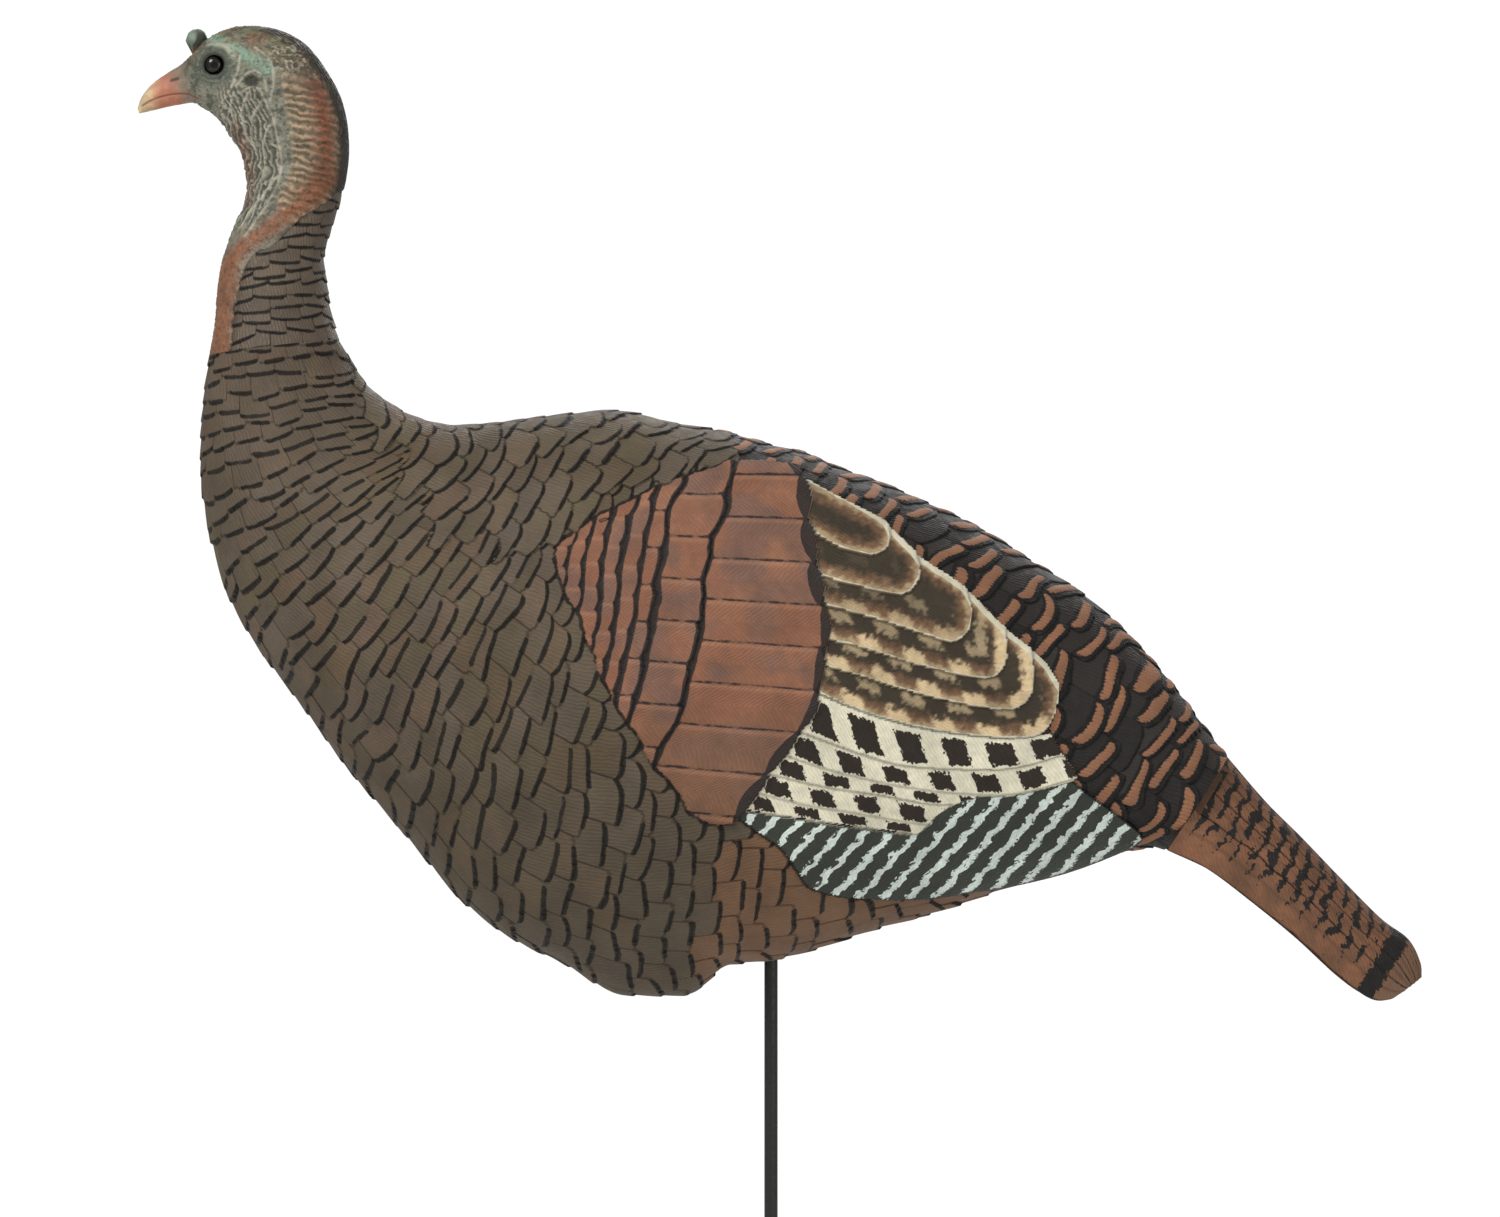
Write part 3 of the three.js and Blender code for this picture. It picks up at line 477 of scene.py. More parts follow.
# The lower edges of the tertials, each from the covert edge to the tip and up to the wing's top edge.
TERTIALS = [
    [(22, 524), (40, 514), (58, 509.5), (67, 512.5), (70, 520), (68.5, 529)],
    [(26, 499), (42, 494), (63, 489), (76, 486.5), (85, 491.5), (88, 501), (85, 513)],
    [(28, 482), (54, 475), (74, 469), (92, 463), (106, 459), (115.5, 464), (119, 475), (115, 491)],
    [(28, 462), (54, 456), (76, 449), (98, 443), (119, 438.5), (132, 438.5), (139.5, 448), (139, 467)],
    [(26, 447), (54, 439), (76, 432), (105, 424.5), (134, 419.5), (148, 421), (156, 432), (155, 455)],
    [(26, 430), (54, 418.5), (83, 410), (112, 405), (141, 402.5), (160, 404.5), (169, 416), (172, 430),
     (170, 440)],
]
TERTIAL_RAGGED = 3.0
# The lower edges of the secondaries, from the covert edge to the rear.
SECONDARIES = [
    [(18, 406), (54, 393), (82, 386), (128, 384), (150, 386), (172, 392)],
    [(4, 394), (30, 385), (54, 379), (82, 373.5), (114, 370), (146, 370), (182, 379)],
    [(-4, 382), (30, 374), (64, 369), (93, 364), (120, 363)],
    [(-12, 371), (20, 363), (45, 359), (82, 353), (110, 350)],
    [(-24, 362), (-13, 359.5), (30, 353), (60, 349), (84, 346), (100, 342)],
]
SECONDARY_TOP = TERTIALS[-1][:6] + [(175, 408)]
SECONDARY_REAR = [(166, 408), (171, 398), (182, 381), (179, 376)]
SECONDARY_FLOOR = [(-24, 361), (-13, 359), (30, 352), (60, 348), (84, 345.5), (92, 350), (103, 360),
                   (122, 367.5), (146, 369), (180, 377)]
PRIMARY_FLOOR = [(-22, 356), (-8, 346), (5, 337), (14, 325), (22, 314), (40, 308.5), (66, 307), (93, 307.5),
                 (119, 311.5), (146, 316), (181, 325), (216, 338.5)]
PRIMARY_REAR = [(216, 338.5), (222, 344), (216, 351), (193, 367), (180, 377)]
CHECK_PERIOD = 27.0
CHECK_SHIFT = -8.6  # how far each row of checks is set forward of the one above
CHECK_START = 56.0
QUILL_PERIOD = 15.2
QUILL_SLANT = 1.1
QUILL_START = -259.0
QUILL_BAR_HALF = 1.8
QUILL_DEPTH = 15.0


def wing_outline():
    """The outline of the folded wing, closed."""
    parts = [WING_TOP[::-1], TERTIAL_TOP, TERTIALS[-1][-3:][::-1], SECONDARY_REAR, PRIMARY_REAR[::-1],
             PRIMARY_FLOOR[::-1], WING_FRONT[::-1]]
    return np.vstack([curve(p, 40) for p in parts])


def covert_rows(xz, wave):
    """Which row of coverts each place is in, with distances to the row's own tips and to the row over it.

    wave shifts the rows' tips to and fro, so that they run unevenly.
    """
    x, z = xz[..., 0], xz[..., 1]
    tips = [across_line(line, z) for line in COVERT_TIPS]
    out = {"row": np.zeros(x.shape, int), "own": tips[0] - x, "over": np.full(x.shape, FAR)}
    out |= {key: np.zeros(x.shape) for key in ("across", "size", "luck")}
    for k, (line, size, sway) in enumerate(zip(tips, COVERT_HEIGHTS, COVERT_WAVE)):
        place = (z + COVERT_SLOPE * (x - line) - COVERT_FOOT) / size + COVERT_STAGGER * k
        cell = np.floor(place).astype(int)
        v = place - cell - 0.5
        uneven = COVERT_UNEVEN * (chance(cell, k, SEEDS["covert_tip"]) - 0.5)
        bulge = COVERT_BULGE[k > 0] * (1 - (2 * v) ** 2) + uneven - 1.5
        edge = line + bulge + sway * wave
        here = x < edge
        passed = np.minimum(out["over"], x - edge) if k else out["over"]
        out["over"] = np.where(here, FAR, passed)
        luck = chance(cell, k, SEEDS["covert"])
        values = {"row": k, "own": edge - x, "across": v * size, "size": size, "luck": luck}
        for key, value in values.items():
            out[key] = np.where(here, value, out[key])
    # A point is in the last row whose tips lie behind it, so the row over it is the next one forwards.
    for k in range(1, len(tips)):
        gap = np.minimum(out["over"], np.maximum(x - tips[k] - COVERT_WAVE[k] * wave, 0))
        out["over"] = np.where(out["row"] == k - 1, gap, out["over"])
    return out


def nested(xz, lines):
    """The first line that each place is above, its distance to that line, and to the line before it."""
    index = np.full(xz.shape[:-1], len(lines))
    own = np.full(xz.shape[:-1], BEYOND)
    over = np.full(xz.shape[:-1], FAR)
    for k in range(len(lines) - 1, -1, -1):
        line = curve(lines[k])
        closing = np.array([(line[-1, 0], 700), (-60, 700), (-60, line[0, 1])])
        above = inside(xz, np.vstack([line, closing]))
        gap = distance_to(xz, line)
        over = np.where(above, FAR, np.where(index == k + 1, gap, over))
        own = np.where(above, gap, own)
        index = np.where(above, k, index)
    return index, own, over


def secondary_bands(xz):
    """Which band of secondaries each place is in, with its distances to the band's upper and lower edges."""
    x, z = xz[..., 0], xz[..., 1]
    edges = [across_line(line, x, by=0) for line in (SECONDARY_TOP, *SECONDARIES)]
    band = np.zeros(x.shape, int)
    top, bottom = np.full(x.shape, FAR), np.full(x.shape, FAR)
    for k, (upper, lower) in enumerate(zip(edges, edges[1:])):
        here = (z < upper) & (z >= lower)
        band = np.where(here, k, band)
        top = np.where(here, upper - z, top)
        bottom = np.where(here, z - lower, bottom)
    return np.where(z < edges[-1], len(edges) - 1, band), top, bottom


def paint_coverts(coat, here, xz, grain, coverts):
    """Rufous coverts, greyer in patches, with dark tip lines, a painted highlight beside each seam and a black
    rear edge. Returns their relief.
    """
    row, own, across, size, luck = (coverts[key] for key in ("row", "own", "across", "size", "luck"))
    colour = blend(RUFOUS, RUFOUS_PALE, 0.8 * (0.5 + 0.5 * grain["slow"]) * luck + 0.15)
    colour = blend(colour, RUFOUS_GREY, 0.8 * smooth(0.0, 0.7, grain["wave"] + 0.5 * luck))
    colour = blend(colour, RUFOUS_LOW, 0.75 * (1 - smooth(*RUFOUS_LOW_Z, xz[..., 1])))
    # Painted highlight: a pale line beside each covert's upper side, on its raised edge.
    highlight_line = fade(size / 2 - across - HIGHLIGHT_LINE["from_seam"], HIGHLIGHT_LINE["width"])
    colour = blend(colour, RUFOUS_PALE * 1.2, 0.45 * highlight_line)

    first = row == 0
    gap = np.minimum(own, coverts["over"])
    sides = size / 2 - np.abs(across)
    share = 2 * across / np.maximum(size, 1)
    black = BLACK_EDGE * (1.15 - 0.85 * share**2) * (0.65 + 0.6 * luck)
    thick = COVERT_LINE - COVERT_LINE_THINNER * row
    stroke = np.where(first, np.maximum(black - own, 2.0 - coverts["over"]), thick - gap)
    stroke = np.maximum(stroke, np.where(row < SEAMED_ROWS, COVERT_SEAM, -1.0) - sides)
    # The edge distance lays painted shade at each covert's tip and along its sides.
    coat.put(here, base=colour, line_in=stroke, edge=np.minimum(gap, 1.0 + sides),
             barb=own * 0.75 + np.abs(across) * 1.1)
    climb = np.where(first, 2.0 * (1 - np.clip(own / 60, 0, 1)), 1.9 - np.clip(own / 14, 0, 1.4))
    relief = climb - 0.4 * fade(sides, 0.8) + 0.25 * fade(across, 1.0)
    return 0.4 + relief + 1.4 * smooth(-60, 30, xz[..., 0])


def paint_tertials(coat, here, xz, grain, nest):
    """Tertials, cream round their edges, umber inside and dark in the middle. Returns their relief."""
    x, z = xz[..., 0], xz[..., 1]
    number, from_edge, over = nest
    ragged = TERTIAL_RAGGED * grain["ragged"]
    to_top = distance_to(xz, curve(TERTIAL_TOP))
    own = np.minimum(from_edge, to_top)
    rim = 1.3 + 3.4 * (1 - smooth(2, 7, to_top)) * smooth(40, 80, x)
    inward = from_edge + ragged
    colour = blend(UMBER, UMBER_DARK, smooth(4, 11, own + ragged))
    colour = blend(colour, CREAM_TAN * 0.8, 0.6 * (1 - smooth(0.3, 3.6, own - rim + ragged)))
    lower = smooth(0.5, 3.5, number)
    swing = np.sin(2 * math.pi * (x + 0.35 * from_edge + CHECK_SHIFT * number) / CHECK_PERIOD)
    patches = lower * smooth(-0.15, 0.35, swing + 0.5 * grain["ragged"]) * (1 - smooth(6, 9, inward))
    colour = blend(colour, CREAM_TAN, 0.95 * patches)
    inner_patches = lower * smooth(-0.1, 0.4, -swing + 0.5 * grain["ragged"]) * smooth(11, 14, inward)
    colour = blend(colour, CREAM_TAN, 0.5 * inner_patches * (1 - smooth(17, 20, inward)))
    coat.put(here, base=colour, line=CREAM * 0.9, line_in=rim - own, edge=np.minimum(from_edge, over),
             barb=own * 0.6 + (x + z) * 0.55)
    return 2.4 + 0.35 * (len(TERTIALS) - number) - 0.9 * np.clip(from_edge / 18, 0, 1)


def paint_secondaries(coat, here, xz, grain, bands):
    """Cream secondaries with ragged dark checks. Returns their relief."""
    x = xz[..., 0]
    band, top, bottom = bands
    depth = top + bottom
    along = x - CHECK_START - CHECK_SHIFT * band
    number = np.round(along / CHECK_PERIOD)
    length = 13.5 + 3 * chance(number.astype(int), band, SEEDS["check"])
    lean = along - number * CHECK_PERIOD + 0.35 * (bottom - depth / 2)
    check = np.minimum(length / 2 - np.abs(lean), 0.36 * depth - np.abs(bottom - 0.47 * depth))
    colour = blend(CREAM, CREAM_TAN, 0.35 * (1 - smooth(0, 22, x + 14)))
    edge = np.minimum(top, bottom)
    coat.put(here, base=colour, line=CREAM, line_in=0.9 - edge, mark=CHECK,
             mark_in=check + 1.6 * grain["ragged"], edge=edge, barb=x * 0.9 + bottom * 0.6)
    return 2.6 - 0.22 * band - 0.6 * np.clip(bottom / 14, 0, 1)


def paint_primaries(coat, here, xz, grain):
    """Green black primaries with slanting white bars, in three long stacked quills. Returns their relief."""
    x, z = xz[..., 0], xz[..., 1]
    slant = x - z / QUILL_SLANT + 2.0 * grain["ragged"] + 0.9 * np.sin(z * 0.55)
    phase = slant - QUILL_START - QUILL_PERIOD * np.round((slant - QUILL_START) / QUILL_PERIOD)
    bar = QUILL_BAR_HALF + 0.6 * grain["ragged"] - np.abs(phase) * 0.74
    edge = np.minimum(distance_to(xz, curve(PRIMARY_FLOOR)), distance_to(xz, curve(PRIMARY_REAR)))
    coat.put(here, base=QUILL_GREEN, line=WING_BLACK, line_in=0.5 - edge, mark=QUILL_BAR,
             mark_in=np.minimum(bar, edge - 1.2), edge=edge, barb=slant * 0.9)
    quill = (z - across_line(PRIMARY_FLOOR, x, by=0)) / QUILL_DEPTH
    between = np.abs(quill - np.round(quill)) * QUILL_DEPTH
    return 1.5 - 0.3 * fade(between, 0.9)


def wing_feathers(xz, grain):
    """The relief, and the paint's distances and colours, over the folded wing."""
    coat = Coat(xz.shape[:2], RUFOUS, WING_BLACK, WING_BLACK)
    coverts = covert_rows(xz, grain["wave"])
    nest = nested(xz, TERTIALS)
    is_covert = coverts["own"] > 0
    is_primary = ~is_covert & (xz[..., 1] < across_line(SECONDARY_FLOOR, xz[..., 0], by=0))
    is_tertial = ~is_covert & ~is_primary & (nest[0] < len(TERTIALS))
    is_secondary = ~is_covert & ~is_tertial & ~is_primary
    height = np.zeros(xz.shape[:2])
    for here, relief in (
        (is_covert, paint_coverts(coat, is_covert, xz, grain, coverts)),
        (is_tertial, paint_tertials(coat, is_tertial, xz, grain, nest)),
        (is_secondary, paint_secondaries(coat, is_secondary, xz, grain, secondary_bands(xz))),
        (is_primary, paint_primaries(coat, is_primary, xz, grain)),
    ):
        height = np.where(here, relief, height)
    return coat, height


# ------------------------------------------------------------------ the body's feathers

ROW_START = 9.4  # row spacing at the neck, mm
ROW_END = 14.0
ROW_TILT = 3.6  # how many rows further back each row starts on the belly than on the back
ROW_WARP = 0.3  # how far noise shifts the rows, in rows
WING_FRONT_X = -24.0  # the wing's front part, with a wavy edge, lies before this
FRONT_WAVE = 2.6
WING_PROUD = 1.6


def body_rows(travel):
    """Row count at each distance from the neck: the rows widen from the neck to the rump."""
    length = travel[-1]
    share = travel / length
    spacing = ROW_START + (ROW_END - ROW_START) * smooth(0.05, 0.75, share)
    return np.concatenate([[0], np.cumsum(np.diff(travel) / ((spacing[1:] + spacing[:-1]) / 2))])


def feather_width(row):
    """The width of a body feather in mm, by row number."""
    return 17 + 11 * smooth(1, 20, row)


FLANK_FRONT = [(-20, 362), (-28, 349), (-33, 311), (-40, 284), (-56, 240)]
RUMP_FRONT = [(17, 548), (12, 561), (-8, 570), (-22, 578), (-26, 600)]
# The feathers of the back lie in finer rows that slant down towards the wing.
SHOULDER_OUTLINE = [(-236, 640), (-232, 590), (-222, 560), (-200, 530), (-176, 512), (-146, 513), (-129, 519),
                    (-106, 535), (-86, 545), (-62, 559), (-42, 567), (-20, 572), (-14, 640)]
SHOULDER_RISE = 0.9
SHOULDER = {"pitch": 10.5, "width": 28.0, "slant": (0.82, 0.57), "seed": 61}
RUMP = {"pitch": 16.5, "width": 31.0, "slant": (0.86, 0.51), "seed": 71}
RUMP_BAR = 2.9  # half the width of a tan bar, mm
RUMP_FLOOR = 352.0  # the flank's feathers lie below this height,
FLANK_END = 196.0  # and before this x


def feather_centres(xz, f, rho_line, tilt, girth):
    """Where each point's feather of the contour rows has its middle, on the side view."""
    rows, columns = xz.shape[:2]
    row = f["row"]
    i = np.clip(np.round(np.interp(row + 0.3 - tilt, rho_line, np.arange(rows))), 0, rows - 1).astype(int)
    share = (f["column"] + 0.5 - 0.5 * (row % 2)) * f["width"] / girth[:, None]
    j = np.clip(np.round(share * (columns - 1)), 0, columns - 1).astype(int)
    return xz[i, j]


def slanted(side, warp, layer):
    """Feathers in straight rows that slant down and back, and the middle of each point's feather."""
    back, down = layer["slant"]
    pitch, wide = layer["pitch"], layer["width"]
    travel, across = np.array([back, -down]), np.array([down, back])
    rho = side.flat @ travel / pitch + warp
    place = side.flat @ across / wide
    width = np.full(rho.shape, wide)
    f = shingle(rho, pitch, lambda row: (place + 0.5 * (row % 2), width), seed=layer["seed"], corner=0.24)
    along = (f["row"] + 0.4 - warp) * pitch
    aside = (f["column"] + 0.5 - 0.5 * (f["row"] % 2)) * wide
    return f, along[..., None] * travel + aside[..., None] * across


def along_barbs(f):
    """Distance in mm along a feather's barbs, which lean towards its tip."""
    return f["across"] + 0.25 * f["tip"]


REDDER = [1.14, 0.96, 0.86]  # turns a colour a little redder


def contour(f, grain):
    """The colour of plain body feathers: each has its own tone between two, and its own brightness."""
    tone = blend(OLIVE, GREY_BROWN, 0.4 + 0.6 * grain["slow"] + 0.9 * (f["luck"] - 0.5))
    redder = 1.6 * (chance(f["row"], f["column"], SEEDS["tone"]) - 0.5)
    tone = blend(tone, tone * REDDER, redder)
    return tone * (0.88 + 0.24 * f["twist"])[..., None]


def strokes(f, thick, ink):
    """How far inside a dark tip stroke each point is, in mm, and the distance to the step under it."""
    return thick * (0.85 + 0.5 * f["twist"]) - f["edge"] - 3 * (1 - ink), f["edge"] + 0.9 * (1 - ink)


def body_grain(points):
    """Noise for ragged edges, for slow changes of tone and for uneven rows."""
    sizes = {"ragged": (3.2, 7.0), "slow": (45, 3.0), "wave": (26, 9.0)}
    return {key: cloud(points, size, 2, offset) for key, (size, offset) in sizes.items()}


def contour_rows(side, xz, rim, warp, rho_line, tilt):
    """The rows of feathers that cover the neck, breast and flanks, and each point's row count."""
    rho = rho_line[:, None] + tilt + ROW_WARP * warp
    pitch = np.maximum(np.gradient(side.travel, axis=0) / np.gradient(rho_line)[:, None], 2.0)
    at_wing = fade(rim, 22) * (xz[..., 0] < -20)
    columns_of = even_columns(side.around, side.girth, rho, feather_width)
    return shingle(rho, pitch, columns_of, seed=SEEDS["contour"], corner=0.12 + 0.3 * at_wing), rho


def paint_rump(coat, side, warp, allowed):
    """Black rump feathers with a raised tan bar each. Returns where they are and their relief."""
    f, centre = slanted(side, 0.5 * warp, RUMP)
    here = allowed & (centre[..., 0] > across_line(RUMP_FRONT, centre[..., 1]))
    ends = np.maximum(np.abs(f["across"]) - 9.5 - 3 * f["luck"], 0)
    bar = RUMP_BAR - np.hypot(f["tip"] - 5.5 - 1.2 * f["twist"], ends)
    bar = np.minimum(bar, f["cover"] - 1.2) - 6 * (f["twist"] < 0.08)
    outline_in = np.maximum(1.1 - f["edge"], 1.0 - np.abs(bar + 1.2))
    coat.put(here, base=blend(RUMP_BLACK, RUMP_GREY, 1.2 * f["luck"] - 0.2), mark=RUMP_TAN, mark_in=bar,
             line_in=outline_in, line=RUMP_BLACK * 0.5, edge=f["edge"], barb=along_barbs(f))
    return here, 0.8 * shingle_height(f) + 0.8 * smooth(-1, 1.5, bar)


def paint_shoulder(coat, side, warp, grain):
    """Plain feathers over the shoulder. Returns where they are and their relief."""
    f, centre = slanted(side, 0.6 * warp, SHOULDER)
    here = inside(centre, np.array(SHOULDER_OUTLINE, float))
    stroke, edge = strokes(f, 1.1, f["ink"])
    coat.put(here, base=contour(f, grain), line=STROKE, line_in=stroke, edge=edge, mark_in=-BEYOND,
             barb=along_barbs(f))
    return here, shingle_height(f) + SHOULDER_RISE


def body_side(rows, columns):
    """The left side's relief and paint."""
    side = Side(BODY_SECTIONS, rows, columns, keel=True)
    points = side.points
    xz = side_view(points)
    outline = wing_outline()
    rim = distance_to(xz, outline)
    rho_line = body_rows(side.travel[:, columns // 2])
    warp = cloud(points, 55, 2) * smooth(0, 2, rho_line)[:, None]
    tilt = ROW_TILT * (side.around - 0.5) * smooth(8, 18, rho_line)[:, None]
    f, rho = contour_rows(side, xz, rim, warp, rho_line, tilt)
    grain = body_grain(points)

    in_front = xz[..., 0] < WING_FRONT_X
    wing = inside(xz + FRONT_WAVE * (grain["wave"] * in_front)[..., None], outline)
    coat = Coat(points.shape[:2], OLIVE)
    base = contour(f, grain)
    # The body's feathers grow darker towards the bottom.
    base = blend(base, DARKER_BELOW, 0.5 * (1 - smooth(330, 520, points[..., 2])))
    base = blend(base, NECK_BROWN, 0.6 * (1 - smooth(4, 12, rho)))
    ink = np.maximum(f["ink"], smooth(-160, -130, xz[..., 0]) * (1 - smooth(8, 20, rim)))
    stroke, edge = strokes(f, 1.05 + 0.4 * smooth(7, 16, f["pitch"]), ink)
    coat.put(..., base=base, line_in=stroke, edge=edge, barb=along_barbs(f))
    centre = feather_centres(xz, f, rho_line, tilt, side.girth)
    behind = centre[..., 0] > across_line(FLANK_FRONT, centre[..., 1])
    coat.put(behind & (centre[..., 1] < RUMP_FLOOR) & ~wing, base=blend(FLANK, FLANK * 0.8, 0.6 * f["luck"]))
    height = shingle_height(f)

    above_flank = (xz[..., 1] > RUMP_FLOOR) | (xz[..., 0] > FLANK_END)
    rump, relief = paint_rump(coat, side, warp, above_flank & ~wing)
    height = np.where(rump, relief, height)

    # The wing stands proud of the body at its rear, and a dark line follows its front edge.
    wing_coat, relief = wing_feathers(xz, grain)
    coat.put(wing, **vars(wing_coat))
    proud = smooth(-60, 0, xz[..., 0])
    height = np.where(wing, relief + WING_PROUD * proud, height - 0.5 * proud * fade(rim, 4))
    # Painted shade: the paint darkens along the wing's raised rear outline.
    coat.edge = np.where(proud > 0.5, np.minimum(coat.edge, rim + 0.2), coat.edge)
    to_wing_edge = distance_to_change(wing, points)
    dark_line = np.maximum(coat.line_in, 1.5 + 0.6 * grain["ragged"] - to_wing_edge)
    # The edge distance also lays painted shade along the wing's front edge.
    coat.put(in_front & (to_wing_edge < 4), line=STROKE, line_in=dark_line,
             edge=np.minimum(coat.edge, to_wing_edge))

    shoulder, relief = paint_shoulder(coat, side, warp, grain)
    return side, np.where(shoulder, relief, height), coat


# ------------------------------------------------------------------ the head, in mm on the side view

NECK_ROW = 7.2  # row spacing of the neck's feathers
NECK_WIDTH = 19.0  # and their width
NECK_ROWS = 13  # rows from the joint up to past the bare skin's edge
SKIN_EDGE = [(-240, 742), (-258, 731), (-269, 721), (-280, 714), (-297, 697), (-309, 691), (-315, 680),
             (-319, 666), (-321, 652), (-322, 634)]
ORANGE_BAND = [(-264, 738), (-274, 727), (-288, 716), (-303, 704), (-315, 696), (-323, 686), (-327, 668),
               (-328, 650), (-329, 634)]
LONG_RIDGE = [(-305, 790), (-301, 781), (-297, 772), (-294.6, 761), (-292.5, 752), (-292.5, 740), (-296, 730),
              (-300.5, 721), (-306, 713), (-313.5, 702)]
SKIN_CLOSING = [(-322, 600), (-200, 600), (-200, 742)]  # carries the skin's edge round the feathered neck
CHEEK_FOLD, NAPE_FOLD, HAIR_STRAND = 3.3, 4.7, 2.4  # spacing of the wrinkles and of the strands, mm
# Raised lines of skin: the points of each, its height and its half width.
SKIN_RIDGES = [
    (LONG_RIDGE, 1.3, 0.9),
    ([(-317, 810), (-318.5, 800), (-323, 790), (-329, 781)], 0.9, 0.8),
    ([(-319, 792), (-314, 798), (-308, 801), (-303, 797), (-301, 789)], 1.0, 0.8),
    ([(-315, 789), (-309, 792), (-305, 789)], 0.9, 0.7),
    ([(-308, 815), (-300, 808), (-297, 800), (-297.5, 790), (-299, 782)], 0.8, 0.8),
    ([(-312, 788), (-316, 778), (-315, 768), (-310, 757)], 0.8, 0.7),
    ([(-304, 783), (-309, 774), (-310, 763), (-307, 751)], 0.8, 0.7),
    ([(-321, 788), (-323, 779), (-320, 769)], 0.7, 0.7),
    ([(-327, 784), (-328, 777), (-325, 771)], 0.6, 0.7),
    ([(-300, 768), (-303, 757), (-302, 745), (-305, 734)], 0.8, 0.7),
    ([(-297, 737), (-302, 728), (-310, 718), (-317, 707)], 0.8, 0.8),
    ([(-336, 816), (-331, 817.5), (-325, 815), (-321, 810)], 1.2, 1.6),
]
NAPE_MIDDLE = [(-284, 812), (-279, 800), (-275, 785), (-272, 768), (-271, 750), (-273, 736), (-280, 723)]
NAPE_ORANGE = [(-277, 806), (-271, 790), (-267, 770), (-266.5, 750), (-269, 736), (-276, 726)]
TEAL_PATCH = [(-333, 819), (-324, 816), (-315, 811), (-307, 807), (-301, 803)]
THROAT_RED = [(-320, 768), (-315, 755), (-312, 740), (-314, 724)]
EAR = np.array([-310.5, 795.0])
EAR_SHAPE = [0.8, 1.1]  # makes the ear hole wider than it is high
EAR_HOLE = (2.4, 4.6)  # it is deepest within the first distance, and ends at the second
# The parts of the skin fade in or out between each pair of limits: x, z or a distance.
CHEEK = {"front": (-334, -324), "back": (-3, 1), "top": (786, 800), "foot": (700, 712)}
NAPE = {"reach": (12, 18), "front": (1.5, 5), "back": (8, 12), "netted_above": (792, 806),
        "netted_behind": (-306, -298)}
BEAK = {"root": (-352, -343), "foot": (760, 768)}
HAIR_STRIP = {"reach": (12, 19), "foot": (704, 716), "front": (-312, -296)}
# Points this near the eye's rim make the socket's floor and wall, and go to the radius of each one's rim.
# All are distances out from the eye's rim. The floor sinks under the eye's back.
SOCKET = {"floor": 0.35, "wall_from": -0.5, "wall_to": 1.0, "floor_rim": 0.25, "wall_rim": 0.45, "sink": 0.3}
SOCKET_BACKING = 4.5  # how much thicker the wall is behind the eye, mm
HEAD_HOLLOW_TO = 12  # the head is hollow up to this section
SNOOD = {"centre": (-344.8, 821.0), "radii": (6.5, 5.6, 7.6), "root": 10.5}
MOUTH = [(-377, 781.5), (-370, 785), (-360, 787.5), (-350, 787.8), (-343, 785.5)]
NOSTRIL = [(-359.5, 796.5), (-355.5, 797.5)]

SKIN_GREY = paint(120, 119, 104)
SKIN_DARK = paint(62, 64, 54)
# The skin's painted highlight, on the tops of its raised relief.
SKIN_HIGHLIGHT = paint(178, 170, 152)
CROWN = paint(112, 112, 88)
CROWN_BROWN = paint(118, 92, 70)
TEAL = paint(132, 162, 140)
FACE_GREEN = paint(90, 99, 86)
NAPE_CREAM = paint(168, 144, 116)
NAPE_RUST = paint(128, 78, 54)
BAND_ORANGE = paint(138, 92, 66)
THROAT = paint(132, 86, 70)
HAIR = paint(50, 47, 40)
BEAK_TIP = paint(186, 164, 128)
BEAK_ROSE = paint(172, 112, 88)
NECK_FEATHER = paint(94, 81, 66)


def bands(value, spacing):
    """Rounded ridges from 0 to 1, one for each spacing."""
    return 0.5 + 0.5 * np.cos(2 * math.pi * value / spacing)


def raise_snood(points):
    """Draws the skin out into the snood, where rays from its root meet the snood's ellipsoid."""
    centre = np.array([SNOOD["centre"][0], 0.0, SNOOD["centre"][1]])
    radii = np.array(SNOOD["radii"])
    root = centre - np.array([0, 0, SNOOD["root"]])
    ray = points - root
    distance = np.linalg.norm(ray, axis=-1, keepdims=True)
    ray = ray / np.maximum(distance, 1e-6) / radii
    start = (root - centre) / radii
    a = (ray**2).sum(axis=-1)
    b = (ray * start).sum(axis=-1)
    c = (start**2).sum() - 1
    inner = b**2 - a * c
    far = np.where(inner > 0, (-b + np.sqrt(np.maximum(inner, 0))) / a, 0)
    longer = np.maximum(far / np.maximum(distance[..., 0], 1e-6), 1)
    return root + (points - root) * longer[..., None], longer > 1.02


def on_line(xz, points, width):
    """1 on a smooth line through points, fading away over a width in mm."""
    return fade(distance_to(xz, curve(points)), width)


def eye_place():
    """The eye's centre on the side view, its radius, and the depth of its back, from the frame, in mm."""
    low, high = (np.array(corner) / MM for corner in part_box("eye_left"))
    return (low + high)[[0, 2]] / 2, (high - low)[0] / 2, -high[1]


